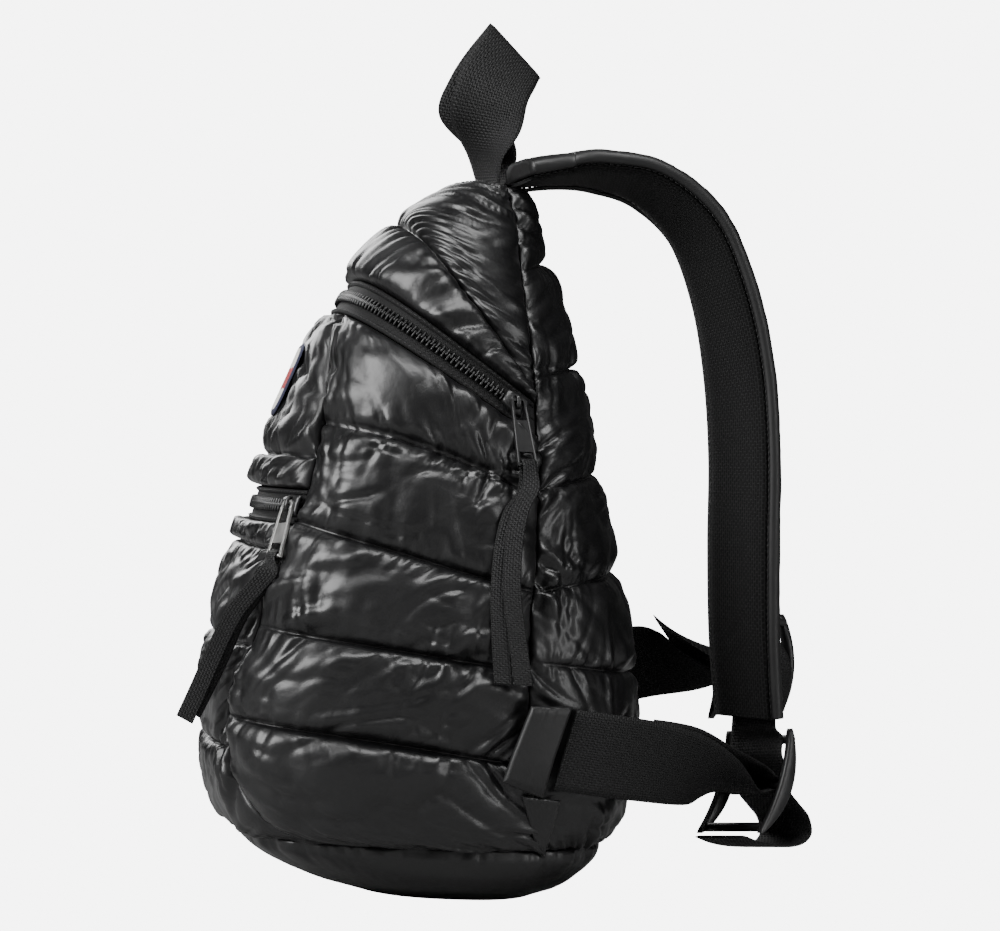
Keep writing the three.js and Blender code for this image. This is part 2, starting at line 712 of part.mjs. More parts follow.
// The grab handle: one length of webbing folded at its top, both ends sewn into the top seam,
// width a share of handleWidth
const handleRoute = [
  { x: 0.0123, y: 0.0048, z: 1.0016, acrossX: 0.97, acrossY: 0.22, acrossZ: 0, width: 0.8 },
  { x: 0.0143, y: -0.009, z: 1.0474, acrossX: 0.9, acrossY: 0.42, acrossZ: -0.1, width: 0.9 },
  { x: 0.0369, y: -0.0135, z: 1.1, acrossX: 0.33, acrossY: 0.93, acrossZ: -0.15, width: 1 },
  { x: 0.041, y: 0, z: 1.1474, acrossX: 0.12, acrossY: 0.93, acrossZ: -0.35, width: 1 },
  { x: 0.0205, y: 0.0405, z: 1.1921, acrossX: 0, acrossY: 0.75, acrossZ: -0.66, width: 1 },
  { x: 0, y: 0.0541, z: 1.2039, acrossX: 0, acrossY: 0.72, acrossZ: -0.69, width: 1 },
  { x: -0.0205, y: 0.0405, z: 1.1921, acrossX: 0, acrossY: 0.75, acrossZ: -0.66, width: 1 },
  { x: -0.0451, y: -0.009, z: 1.1474, acrossX: 0.05, acrossY: 0.95, acrossZ: -0.3, width: 1 },
  { x: -0.0451, y: -0.0315, z: 1.1, acrossX: 0.3, acrossY: 0.92, acrossZ: -0.15, width: 1 },
  { x: -0.0164, y: 0.0248, z: 1.0474, acrossX: 0.88, acrossY: 0.46, acrossZ: -0.05, width: 0.9 },
  { x: -0.0082, y: 0.0235, z: 1.0016, acrossX: 0.97, acrossY: 0.22, acrossZ: 0, width: 0.8 },
];

const withWidth = (rows, width) =>
  rows.map((row) => ({ ...row, width: (row.width ?? 1) * width }));

// The ribbons' two tails, from their puller down. The main zip's are places over the side, the
// pocket's are x, y and z from its puller's foot, as shares of the body's width, depth and height.
const mainRibbonFront = [
  [0.0495, 0.5632, 1.62],
  [0.0315, 0.5342, 1.54],
  [0.0225, 0.4895, 1.46],
  [0.0225, 0.4342, 1.46],
  [0.036, 0.3816, 1.46],
  [0.0495, 0.3368, 1.5],
  [0.0586, 0.3079, 1.55],
];
const mainRibbonBack = [
  [0.0473, 0.5605, 1.16],
  [0.0203, 0.5342, 1.16],
  [0.0045, 0.4895, 1.14],
  [0, 0.4263, 1.14],
  [0.0068, 0.3684, 1.14],
  [0.018, 0.3079, 1.16],
];
const pocketRibbonFront = [
  [0.0242, -0.0125, -0.0207],
  [0.0119, -0.0463, -0.047],
  [-0.0086, -0.0877, -0.0825],
  [-0.029, -0.1246, -0.1352],
  [-0.0372, -0.1544, -0.1825],
  [-0.0454, -0.1859, -0.2299],
];
const pocketRibbonBack = [
  [0.0111, -0.0215, -0.0233],
  [0.0009, -0.0395, -0.0496],
  [-0.0208, -0.0755, -0.0865],
  [-0.0413, -0.1093, -0.1404],
  [-0.0495, -0.1408, -0.1852],
  [-0.0577, -0.1679, -0.222],
];

// The side tabs: a folded strip over the end of the lower webbing, and a wing from the strip to
// the back seam, as places over the side. Rows run upwards.
const tabStrip = [
  [[0.027, 0.1816, 1.1], [0.0698, 0.1724, 1.1], [0.1149, 0.1632, 1.1]],
  [[0.0541, 0.2316, 1.1], [0.0968, 0.2276, 1.1], [0.141, 0.2237, 1.1]],
  [[0.0811, 0.2816, 1.1], [0.1239, 0.2816, 1.1], [0.168, 0.2816, 1.1]],
];
const tabWing = [
  [[0.1036, 0.1158, 0.6], [0.1216, 0.0947, 0.4], [0.1486, 0.0737, 0.25]],
  [[0.0878, 0.1395, 0.95], [0.1171, 0.1289, 0.8], [0.1532, 0.1158, 0.62]],
  [[0.0721, 0.165, 1.12], [0.1171, 0.162, 1.12], [0.1577, 0.1594, 1.0]],
];

// A geometry as a solid that can be joined and cut, and back
function solidOf(geometry) {
  const bare = geometry.index ? geometry.toNonIndexed() : geometry.clone();
  for (const name of Object.keys(bare.attributes)) if (name !== "position") bare.deleteAttribute(name);
  const merged = mergeVertices(bare, 1e-4);
  return new wasm.Manifold(
    new wasm.Mesh({
      numProp: 3,
      vertProperties: merged.attributes.position.array,
      triVerts: new Uint32Array(merged.index.array),
    }),
  );
}
function geometryOf(solid) {
  const mesh = solid.getMesh();
  const geometry = new THREE.BufferGeometry();
  geometry.setAttribute("position", new THREE.Float32BufferAttribute(mesh.vertProperties, 3));
  geometry.setIndex([...mesh.triVerts]);
  return geometry;
}

// A strap adjuster in its own frame: across is X, along the strap is Y, its outer face is +Z.
// Two bowed side rails carry three cross bars.
function buckleGeometry() {
  const inside = webbingWidth + 3;
  const half = buckleLength / 2;
  const rail = new THREE.Shape();
  rail.moveTo(-half, 0);
  rail.quadraticCurveTo(0, buckleBow * 2, half, 0);
  rail.quadraticCurveTo(half + 1, -2, half - 3, -2.5);
  rail.quadraticCurveTo(0, buckleBow * 0.6, -half + 3, -2.5);
  rail.quadraticCurveTo(-half - 1, -2, -half, 0);
  rail.closePath();
  const railSolid = (start) =>
    solidOf(
      new THREE.ExtrudeGeometry(rail, { depth: buckleRail, bevelEnabled: false, curveSegments: 10 })
        .rotateX(Math.PI / 2)
        .rotateZ(Math.PI / 2)
        .translate(start, 0, 0),
    );
  let whole = railSolid(inside / 2).add(railSolid(-inside / 2 - buckleRail));
  for (const share of [-0.42, 0, 0.42]) {
    const bar = new THREE.CylinderGeometry(buckleBar / 2, buckleBar / 2, inside + buckleRail, 10)
      .rotateZ(Math.PI / 2)
      .translate(0, share * buckleLength, barMiddle * (1 - (2 * share) ** 2) + 0.2);
    whole = whole.add(solidOf(bar));
  }
  return geometryOf(whole);
}

// Places a geometry by its directions across and along and its origin
function placed(geometry, across, along, origin) {
  const x = across.clone().normalize();
  const y = along.clone().addScaledVector(x, -along.dot(x)).normalize();
  const matrix = new THREE.Matrix4().makeBasis(x, y, x.clone().cross(y)).setPosition(origin);
  return geometry.clone().applyMatrix4(matrix);
}

// A zip puller, flat in XY and hanging along -Y from the bar in its upper eye, with a lower
// eye for its ribbon
function pullerGeometry(length) {
  const [top, foot] = [pullerTopWidth / 2, pullerFootWidth / 2];
  const outline = new THREE.Shape();
  outline.moveTo(-top, 0);
  outline.quadraticCurveTo(-top, 1.6, -top + 1.6, 1.6);
  outline.lineTo(top - 1.6, 1.6);
  outline.quadraticCurveTo(top, 1.6, top, 0);
  outline.lineTo(foot, -length);
  outline.lineTo(-foot, -length);
  outline.closePath();
  const eye = (upper, lower, half) => {
    const hole = new THREE.Path();
    hole.moveTo(-half, upper);
    hole.lineTo(-half, lower);
    hole.lineTo(half, lower);
    hole.lineTo(half, upper);
    hole.closePath();
    return hole;
  };
  outline.holes.push(eye(0, -11, top - 1.5), eye(-length + 8, -length + 2, foot - 1));
  return new THREE.ExtrudeGeometry(outline, {
    depth: pullerThickness,
    bevelEnabled: false,
    curveSegments: 3,
  }).translate(0, 0, -pullerThickness / 2);
}

// A slider over a chain that runs along X, its bridge turned to the way its puller hangs
function sliderGeometry(turn) {
  const plate = new THREE.Shape();
  plate.moveTo(-7, -3.6);
  plate.lineTo(-7, 3.6);
  plate.quadraticCurveTo(0, 6, 6, 5.4);
  plate.lineTo(6, -5.4);
  plate.quadraticCurveTo(0, -6, -7, -3.6);
  const top = solidOf(
    new THREE.ExtrudeGeometry(plate, { depth: 1.4, bevelEnabled: false, curveSegments: 5 }),
  );
  const bridge = new THREE.Shape();
  bridge.moveTo(-4.8, 1);
  bridge.quadraticCurveTo(-4.6, 1.4 + bridgeHeight, 0, 1.4 + bridgeHeight);
  bridge.quadraticCurveTo(4.6, 1.4 + bridgeHeight, 4.8, 1);
  bridge.lineTo(3.2, 1);
  bridge.lineTo(2.6, bridgeHeight);
  bridge.lineTo(-2.6, bridgeHeight);
  bridge.lineTo(-3.2, 1);
  bridge.closePath();
  const arch = new THREE.ExtrudeGeometry(bridge, {
    depth: 2.6,
    bevelEnabled: false,
    curveSegments: 5,
  })
    .rotateX(Math.PI / 2)
    .translate(0, 1.3, 0)
    .rotateZ(turn);
  return geometryOf(top.add(solidOf(arch)));
}

// A zip's slider and puller. The puller hangs the way asked for, tipped off the bag by tip.
function sliderAndPuller(name, zip, round, hang, tip, length) {
  const { place, run, out } = sliderPlace(zip, round);
  const rise = out.clone().cross(run);
  const down = new THREE.Vector3(...hang);
  down.addScaledVector(out, -down.dot(out)).normalize();
  const turn = Math.atan2(down.dot(rise), down.dot(run));
  add(`${name}_slider`, placed(sliderGeometry(turn), run, rise, place), "plastic");
  const eye = place.clone().addScaledVector(out, 1.4 + pullerThickness / 2 + partGap);
  const up = down.clone().multiplyScalar(-1).addScaledVector(out, -tip);
  const across = up.clone().cross(out).normalize();
  add(`${name}_puller`, placed(pullerGeometry(length), across, up, eye), "plastic");
  const foot = eye.clone().addScaledVector(up.normalize(), 1 - length);
  return { foot, up, across, out: across.clone().cross(up).normalize() };
}

// The fold of a ribbon round a puller's foot: places out from the foot and up from it, as shares
// of the fold's radius
const ribbonFold = [
  [1, -1.35], [1, 0], [0.7, 0.85], [0, 1.25], [-0.7, 0.85], [-1, 0], [-1, -1.35],
];

// A ribbon folded round the foot of a puller, a front tail up one side and a back tail down
// the other
function ribbonFrom(pull, front, back) {
  const radius = pullerThickness / 2 + ribbonThickness / 2 + partGap * 3;
  const row = (across) => ([x, y, z]) => ({
    x,
    y,
    z,
    acrossX: across.x,
    acrossY: across.y,
    acrossZ: across.z,
  });
  const turn = ribbonFold.map(([out, up]) => {
    const point = pull.foot
      .clone()
      .addScaledVector(pull.out, out * radius)
      .addScaledVector(pull.up, up * radius);
    return { ...row(pull.across)([point.x, point.y, point.z]), width: 0.84 };
  });
  const lean = new THREE.Vector3(...ribbonLean(front));
  const rows = [...[...front].reverse().map(row(lean)), ...turn, ...back.map(row(lean))];
  return sweep(withWidth(rows, ribbonWidth), 3, bandSection(ribbonThickness));
}

// A hanging ribbon's direction across, level with the bag's side
function ribbonLean(points) {
  const [first, last] = [points[0], points[points.length - 1]];
  const along = new THREE.Vector2(last[1] - first[1], last[2] - first[2]).normalize();
  return [0.1, -along.y, along.x];
}

const materials = {
  nylon: { color: 0x17181a, roughness: 0.28, metalness: 0 },
  webbing: { color: 0x1b1b1c, roughness: 0.85, metalness: 0 },
  mesh: { color: 0x141414, roughness: 0.95, metalness: 0 },
  plastic: { color: 0x2b2c2e, roughness: 0.45, metalness: 0 },
  tape: { color: 0x222223, roughness: 0.9, metalness: 0 },
  metal: { color: 0x8d8c89, roughness: 0.35, metalness: 0.9 },
  badge: { color: 0xe9e6e1, roughness: 0.8, metalness: 0 },
};
const bag = new THREE.Group();
function add(name, geometry, material) {
  const mesh = new THREE.Mesh(geometry, new THREE.MeshStandardMaterial(materials[material]));
  mesh.name = name;
  bag.add(mesh);
  return mesh;
}

// The padded body: side panels, back panel, cap, front panels and base
const flatLine = (height) => ({ first: height / bodyHeight, last: height / bodyHeight, bow: 0 });
const side = quiltedPanel({
  left: frontSeamAngle,
  right: backSeamAngle,
  lines: [flatLine(baseEdgeHeight), ...sideLines, zipLow],
  puff: sidePuff,
  cells: 11,
});
add("side_panel_right", side, "nylon");
add("side_panel_left", mirrored(side), "nylon");
add(
  "back_panel",
  quiltedPanel({
    left: backSeamAngle,
    right: (z) => 2 * Math.PI - backSeamAngle(z),
    lines: [flatLine(baseEdgeHeight), ...backLines, flatLine(bodyHeight)],
    puff: backPuff,
    cells: 16,
  }),
  "nylon",
);
add(
  "cap_panel",
  quiltedPanel({
    left: (z) => -backSeamAngle(z),
    right: backSeamAngle,
    lines: [zipHigh, capLine, flatLine(bodyHeight)],
    puff: capPuff,
    cells: 20,
  }),
  "nylon",
);
add(
  "upper_front_panel",
  quiltedPanel({
    left: (z) => -frontSeamAngle(z),
    right: frontSeamAngle,
    lines: [flatLine(pocketZipHeight + zipOpening), ...upperFrontLines, zipLow],
    puff: frontPuff,
    cells: 14,
    columns: frontColumns,
  }),
  "nylon",
);
add(
  "front_pocket",
  quiltedPanel({
    left: (z) => -frontSeamAngle(z),
    right: frontSeamAngle,
    lines: [flatLine(baseEdgeHeight), ...pocketLines, flatLine(pocketZipHeight)],
    puff: frontPuff,
    cells: 12,
  }),
  "nylon",
);
add("base", baseTray(), "nylon");

// The binding that closes the top, between the cap's and the back panel's upper edges
const [topFront, topSide, topBack] = [0, Math.PI / 2, Math.PI].map((angle) => {
  const normal = bodyNormal(angle, bodyHeight);
  return bodyPoint(angle, bodyHeight).addScaledVector(normal, -quiltWall - partGap);
});
const topMiddle = (topFront.y + topBack.y) / 2;
const topOutline = new THREE.Shape();
topOutline.absellipse(0, topMiddle, topSide.x, topBack.y - topMiddle, 0, 2 * Math.PI);
add(
  "top_binding",
  new THREE.ExtrudeGeometry(topOutline, {
    depth: bindingThickness,
    bevelEnabled: false,
    curveSegments: 28,
  }).translate(0, 0, bodyHeight - bindingThickness),
  "nylon",
);

// The zips: two halves of tape with the chain over their meeting edges
const mainZip = { low: zipLow, high: zipHigh, seam: backSeamAngle };
const pocketZip = {
  low: flatLine(pocketZipHeight),
  high: flatLine(pocketZipHeight + zipOpening),
  seam: frontSeamAngle,
};
for (const [name, zip, cells] of [["main_zip", mainZip, 44], ["pocket_zip", pocketZip, 20]]) {
  const band = { reach: 1, cells, lift: -tapeThickness, thickness: tapeThickness };
  const half = chainWidth / (2 * zipOpening);
  add(`${name}_tape_lower`, zipBand(zip, { ...band, from: 0.05, to: 0.49 }), "tape");
  add(`${name}_tape_upper`, zipBand(zip, { ...band, from: 0.51, to: 0.95 }), "tape");
  const chain = { reach: 0.985, cells, lift: partGap, thickness: chainHeight };
  add(`${name}_chain`, zipBand(zip, { ...chain, from: 0.5 - half, to: 0.5 + half }), "plastic");
}
const mainPull = sliderAndPuller("main_zip", mainZip, 0.93, [0, 0, -1], 0.16, pullerLength);
const pocketPull = sliderAndPuller(
  "pocket_zip",
  pocketZip,
  0.94,
  [0.19, -0.12, -0.974],
  0.04,
  pocketPullerLength,
);
const overSidePlaces = (places) => places.map((place) => overSide(place).toArray());
add(
  "main_zip_ribbon",
  ribbonFrom(mainPull, overSidePlaces(mainRibbonFront), overSidePlaces(mainRibbonBack)),
  "webbing",
);
const bodySize = new THREE.Vector3(bodyWidth, bodyDepth, bodyHeight);
const underPuller = (places) =>
  places.map((place) => new THREE.Vector3(...place).multiply(bodySize).add(pocketPull.foot).toArray());
add(
  "pocket_zip_ribbon",
  ribbonFrom(pocketPull, underPuller(pocketRibbonFront), underPuller(pocketRibbonBack)),
  "webbing",
);

// The straps, their webbing and buckles
for (const [sideName, pad, strap, lower, frame] of [
  ["right", padRouteRight, strapRouteRight, lowerRouteRight, frameRight],
  ["left", padRouteLeft, strapRouteLeft, lowerRouteLeft, frameLeft],
]) {
  const band = bandSection(webbingThickness);
  add(`strap_pad_${sideName}`, sweep(padRows(pad), 6, padSection, true), "nylon");
  add(`strap_lining_${sideName}`, sweep(padRows(pad), 6, liningSection, true), "mesh");
  add(`strap_webbing_${sideName}`, sweep(withWidth(strap, webbingWidth), 4, band), "webbing");
  add(`lower_webbing_${sideName}`, sweep(withWidth(lower, webbingWidth), 4, band), "webbing");
  add(`buckle_${sideName}`, placed(buckleGeometry(), frame.x, frame.y, frame.centre), "plastic");
}
const strip = sideSheet(tabStrip, 3.4);
add("side_tab_right", strip, "nylon");
add("side_tab_left", mirrored(strip), "nylon");
const wing = sideSheet(tabWing, 1.6);
add("tab_wing_right", wing, "nylon");
add("tab_wing_left", mirrored(wing), "nylon");

// The badge on the upper front, blank of any mark
const badgeGrid = (lift) =>
  [-0.5, -0.17, 0.17, 0.5].map((up) =>
    [-0.5, -0.17, 0.17, 0.5].map((over) => {
      const z = badgeLevel + up * badgeHeight;
      const angle = angleAcross(z, over * badgeWidth);
      return bodyPoint(angle, z).addScaledVector(bodyNormal(angle, z), lift);
    }),
  );
const badgeLift = frontPuff + partGap;
add(
  "front_badge",
  slabBetween(badgeGrid(badgeLift + badgeThickness), badgeGrid(badgeLift)),
  "badge",
);
add(
  "top_handle",
  sweep(withWidth(sized(handleRoute), handleWidth), 5, bandSection(webbingThickness)),
  "webbing",
);

export default bag;
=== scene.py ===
"""Looks of the quilted puffer backpack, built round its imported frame.

Shapes are worked out in millimetres and put into their meshes in metres. The front pocket faces
-Y, the straps +Y, and +X is the side with the sliders. A place on the body is an angle round it,
0 in the middle of the front and a quarter turn on the +X side, and a height.
"""

import math

import bpy
import numpy as np
from mathutils import Matrix, Vector


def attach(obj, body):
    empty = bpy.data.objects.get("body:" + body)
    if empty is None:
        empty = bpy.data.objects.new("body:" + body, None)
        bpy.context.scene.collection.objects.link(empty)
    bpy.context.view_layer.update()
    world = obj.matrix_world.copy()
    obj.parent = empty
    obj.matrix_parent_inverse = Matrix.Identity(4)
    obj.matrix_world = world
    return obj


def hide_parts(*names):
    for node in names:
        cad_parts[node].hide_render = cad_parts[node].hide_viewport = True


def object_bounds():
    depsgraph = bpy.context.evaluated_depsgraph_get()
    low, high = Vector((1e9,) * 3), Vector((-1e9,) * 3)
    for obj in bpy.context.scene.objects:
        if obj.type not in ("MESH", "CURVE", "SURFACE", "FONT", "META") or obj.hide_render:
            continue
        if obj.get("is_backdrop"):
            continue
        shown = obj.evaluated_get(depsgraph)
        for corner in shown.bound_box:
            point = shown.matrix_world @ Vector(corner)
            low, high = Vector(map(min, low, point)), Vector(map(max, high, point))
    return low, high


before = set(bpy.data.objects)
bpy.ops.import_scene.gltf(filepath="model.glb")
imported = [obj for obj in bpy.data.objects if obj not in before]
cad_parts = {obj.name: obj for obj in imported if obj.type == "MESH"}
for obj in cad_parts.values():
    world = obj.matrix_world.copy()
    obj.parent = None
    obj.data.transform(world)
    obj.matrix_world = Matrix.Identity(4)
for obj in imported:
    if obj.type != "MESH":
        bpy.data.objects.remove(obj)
cad_box = [list(corner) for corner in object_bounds()]

# Driving sizes, in millimetres
BODY_HEIGHT = 380.0
BODY_DEPTH = 222.0
BODY_WIDTH = 244.0
BASE_EDGE = 30.0
WALL = 3.0
BASE_WALL = 4.0
SIDE_PUFF = 10.0
FRONT_PUFF = 8.0
BACK_PUFF = 8.0
CAP_PUFF = 9.0
BASE_PUFF = 5.0
SEAM_GAP = 1.0
TAPE = 1.2
CHAIN_HEIGHT = 2.6
TOOTH_PITCH = 3.15
PART_GAP = 0.3
POCKET_ZIP = 193.0
ZIP_OPENING = 18.0
PULLER_LENGTH = 37.0
POCKET_PULLER_LENGTH = 30.0
PULLER_TOP = 8.4
PULLER_FOOT = 11.6
PULLER_THICKNESS = 1.6
RIBBON_WIDTH = 9.5
RIBBON_THICKNESS = 1.0
PAD_WIDTH = 66.0
PAD_THICKNESS = 10.0
LINING_THICKNESS = 2.0
LINING_GAP = 0.9
WEBBING_WIDTH = 43.0
WEBBING_THICKNESS = 1.6
HANDLE_WIDTH = 41.0
BUCKLE_LENGTH = 60.0
BUCKLE_BOW = 11.0
BUCKLE_RAIL = 4.5
BUCKLE_BAR = 5.0
BADGE_WIDTH = 34.0
BADGE_HEIGHT = 40.0
BADGE_LEVEL = 267.0
# The spacing of the quilted panels' points
CELL = 1.25
BODY_SIZE = np.array([BODY_WIDTH, BODY_DEPTH, BODY_HEIGHT])

# Sections of the body at its quilting lines: height, front reach, back reach and half width as
# shares of the body's sizes, then how square the front and back corners are
SECTIONS = np.array([
    [0.0, -0.27, 0.2, 0.33, 2.6, 2.4],
    [0.026, -0.4, 0.27, 0.41, 2.8, 2.5],
    [0.066, -0.515, 0.33, 0.452, 3.4, 2.6],
    [0.13, -0.58, 0.372, 0.485, 4.0, 2.7],
    [0.21, -0.606, 0.392, 0.5, 4.2, 2.7],
    [0.29, -0.604, 0.392, 0.5, 4.0, 2.7],
    [0.395, -0.578, 0.356, 0.49, 3.6, 2.7],
    [0.5, -0.537, 0.31, 0.467, 3.2, 2.7],
    [0.6, -0.495, 0.268, 0.434, 2.9, 2.7],
    [0.71, -0.425, 0.225, 0.39, 2.7, 2.6],
    [0.815, -0.355, 0.175, 0.332, 2.5, 2.5],
    [0.89, -0.272, 0.136, 0.272, 2.4, 2.4],
    [0.95, -0.16, 0.098, 0.205, 2.3, 2.3],
    [0.985, -0.066, 0.075, 0.16, 2.3, 2.3],
    [1.0, -0.014, 0.066, 0.135, 2.3, 2.3],
])

# Seams seen from the side: height and place front to back, as shares
FRONT_SEAM = [
    (0.079, -0.32), (0.092, -0.437), (0.116, -0.505), (0.15, -0.55), (0.197, -0.58),
    (0.245, -0.585), (0.292, -0.572), (0.347, -0.541), (0.416, -0.514), (0.487, -0.473),
    (0.555, -0.428), (0.626, -0.405), (0.708, -0.378), (0.82, -0.345),
]
BACK_SEAM = [
    (0.079, 0.155), (0.176, 0.108), (0.287, 0.09), (0.368, 0.086), (0.476, 0.095),
    (0.558, 0.097), (0.695, 0.09), (0.792, 0.072), (0.921, 0.05), (1.0, 0.03),
]

# Straight slanting lines: level at the origin's upright as a share of the height, and climb
ZIP_LOW = {"level": 0.676, "climb": 0.63}
ZIP_HIGH = {"level": 0.726, "climb": 0.7}
CAP_LINE = {"level": 0.771, "climb": 1.35}

# Quilting lines: heights at a panel's two edges and the bow between them, as shares
SIDE_LINES = [
    (0.245, 0.197, 0.002), (0.368, 0.326, 0.0), (0.513, 0.432, 0.0), (0.647, 0.565, 0.014),
]
BACK_LINES = [
    (0.34, 0.34, -0.022), (0.432, 0.432, 0.03), (0.571, 0.571, 0.028),
    (0.724, 0.724, 0.024), (0.874, 0.874, 0.022),
]
POCKET_LINES = [(0.2, 0.2, 0.0), (0.34, 0.34, 0.0), (0.47, 0.47, 0.006)]
UPPER_FRONT_LINES = [(0.6, 0.6, 0.0)]
# Upright seams of the upper front, as shares of the way across it
FRONT_COLUMNS = (0.24, 0.76)


def table_curve(xs, ys):
    """A cubic between the rows, with the harmonic mean of its neighbours' slopes at each row."""
    xs, ys = np.asarray(xs, float), np.asarray(ys, float)
    slopes = np.diff(ys) / np.diff(xs)
    before, after = slopes[:-1], slopes[1:]
    same_way = before * after > 0
    total = np.where(same_way, before + after, 1.0)
    middle = np.where(same_way, 2 * before * after / total, 0.0)
    tangents = np.concatenate([[slopes[0]], middle, [slopes[-1]]])

    def value(x):
        x = np.clip(x, xs[0], xs[-1])
        i = np.clip(np.searchsorted(xs, x, side="right") - 1, 0, len(xs) - 2)
        span = xs[i + 1] - xs[i]
        t = (x - xs[i]) / span
        rise = t * t * (3 - 2 * t)
        bend = tangents[i] * (1 - t) - tangents[i + 1] * t
        return ys[i] + (ys[i + 1] - ys[i]) * rise + bend * span * t * (1 - t)

    return value


FRONT, BACK, HALF, SQUARE_FRONT, SQUARE_BACK = (
    table_curve(SECTIONS[:, 0], SECTIONS[:, column]) for column in range(1, 6)
)


def body_point(angle, z):
    """A superellipse at height z: x = half sin / n and y = middle - depth cos / n, where n is
    (|sin|^k + |cos|^k)^(1/k) and k runs from the front's squareness to the back's."""
    share = z / BODY_HEIGHT
    front, back = FRONT(share) * BODY_DEPTH, BACK(share) * BODY_DEPTH
    half = HALF(share) * BODY_WIDTH
    sine, cosine = np.sin(angle), np.cos(angle)
    to_back = (1 - cosine) / 2
    square = SQUARE_FRONT(share) * (1 - to_back) + SQUARE_BACK(share) * to_back
    norm = (np.abs(sine) ** square + np.abs(cosine) ** square) ** (1 / square)
    y = (front + back) / 2 - (back - front) / 2 * cosine / norm
    return np.stack(np.broadcast_arrays(half * sine / norm, y, z), axis=-1)


def unit(vectors):
    """Each vector divided by its length."""
    return vectors / np.maximum(np.linalg.norm(vectors, axis=-1, keepdims=True), 1e-9)


def body_normal(angle, z):
    """The outward direction: a short step round the body crossed with a short step up it."""
    around = body_point(angle + 0.01, z) - body_point(angle - 0.01, z)
    low, high = np.maximum(z - 1, 0.5), np.minimum(z + 1, BODY_HEIGHT - 0.5)
    return unit(np.cross(around, body_point(angle, high) - body_point(angle, low)))


def halving(low, high, is_low, steps=34):
    """Halves the span between low and high until the place where is_low turns false is found."""
    low, high = np.array(low, float), np.array(high, float)
    for _ in range(steps):
        middle = (low + high) / 2
        below = is_low(middle)
        low, high = np.where(below, middle, low), np.where(below, high, middle)
    return (low + high) / 2


def angle_at(z, place):
    """The angle on the +X side at which the body has y = place."""
    z = np.asarray(z, float)
    place = np.broadcast_to(place, z.shape)
    return halving(
        np.full(z.shape, 0.02), np.full(z.shape, math.pi - 0.02),
        lambda angle: body_point(angle, z)[..., 1] < place,
    )


def angle_across(z, across):
    """The angle near the front at which the body has x = across."""
    z, across = np.broadcast_arrays(np.asarray(z, float), np.asarray(across, float))
    return halving(
        np.full(z.shape, -1.2), np.full(z.shape, 1.2),
        lambda angle: body_point(angle, z)[..., 0] < across,
    )


def seam_angle(rows):
    """The angle of a seam at a height, from its table of heights and places front to back."""
    place = table_curve(*np.array(rows).T)
    return lambda z: angle_at(z, place(np.asarray(z) / BODY_HEIGHT) * BODY_DEPTH)


front_seam = seam_angle(FRONT_SEAM)
back_seam = seam_angle(BACK_SEAM)


def flat_line(height):
    """A quilting line that runs level at a height in millimetres."""
    return (height / BODY_HEIGHT, height / BODY_HEIGHT, 0.0)


def line_height(line, share, angle):
    """A slanting line has z + climb y = level H; a quilting line runs straight between its edge
    heights plus bow 4 s (1 - s)."""
    if isinstance(line, dict):
        angle = np.asarray(angle, float)
        level = line["level"] * BODY_HEIGHT
        return halving(
            np.full(angle.shape, BASE_EDGE), np.full(angle.shape, BODY_HEIGHT),
            lambda z: z + line["climb"] * body_point(angle, z)[..., 1] < level, 26,
        )
    first, last, bow = line
    return (first + (last - first) * share + bow * 4 * share * (1 - share)) * BODY_HEIGHT


def fullness(share):
    """A pillow's section: the square root of 1 - |2s - 1|^3."""
    return np.sqrt(np.maximum(0, 1 - np.abs(2 * share - 1) ** 3))


def noise(x, y, seed):
    """Smooth noise from -1 to 1: random values at whole numbers, blended by a quintic fade."""
    table = np.random.default_rng(seed).uniform(-1, 1, (64, 64))
    x, y = np.broadcast_arrays(x, y)
    column, row = np.floor(x).astype(int), np.floor(y).astype(int)
    fx, fy = x - column, y - row
    fx, fy = (f * f * f * (f * (f * 6 - 15) + 10) for f in (fx, fy))
    c0, c1, r0, r1 = column % 64, (column + 1) % 64, row % 64, (row + 1) % 64
    low = table[c0, r0] * (1 - fx) + table[c1, r0] * fx
    high = table[c0, r1] * (1 - fx) + table[c1, r1] * fx
    return low * (1 - fy) + high * fy


def creases(x, y, seed, sharpness=0.12):
    """Sharp valleys between round crests: 2.2 times the square root of n^2 + sharpness^2 less
    0.37, so that the mean is about nothing."""
    return 2.2 * (np.sqrt(noise(x, y, seed) ** 2 + sharpness**2) - 0.37)


def mesh_of(name, points, faces, uv=None):
    """A mesh in metres from points in millimetres, quads or mixed faces, and a UV per point."""
    mesh = bpy.data.meshes.new(name)
    points = np.asarray(points, float).reshape(-1, 3) * 0.001
    if isinstance(faces, np.ndarray):
        corners = faces.astype(np.int32).ravel()
        sides = faces.shape[1]
        mesh.vertices.add(len(points))
        mesh.vertices.foreach_set("co", points.astype(np.float32).ravel())
        mesh.loops.add(len(corners))
        mesh.loops.foreach_set("vertex_index", corners)
        mesh.polygons.add(len(faces))
        mesh.polygons.foreach_set("loop_start", np.arange(0, len(corners), sides, dtype=np.int32))
        mesh.update(calc_edges=True)
    else:
        mesh.from_pydata(points.tolist(), [], faces)
        corners = np.concatenate([np.asarray(face) for face in faces])
    if uv is not None:
        layer = mesh.uv_layers.new(name="surface")
        layer.uv.foreach_set("vector", np.asarray(uv, np.float32).reshape(-1, 2)[corners].ravel())
    mesh.polygons.foreach_set("use_smooth", np.ones(len(mesh.polygons), dtype=bool))
    mesh.validate()
    return mesh


def piece(name, mesh, material, slot, nodes=(), pad=None):
    """A finished piece: it rides on the bag, takes its material and stands for the named nodes. Its
    slot is not used.
    """
    thing = bpy.data.objects.new(name, mesh)
    bpy.context.scene.collection.objects.link(thing)
    mesh.materials.append(material)
    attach(thing, "root")
    if nodes:
        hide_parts(*nodes)
    return thing


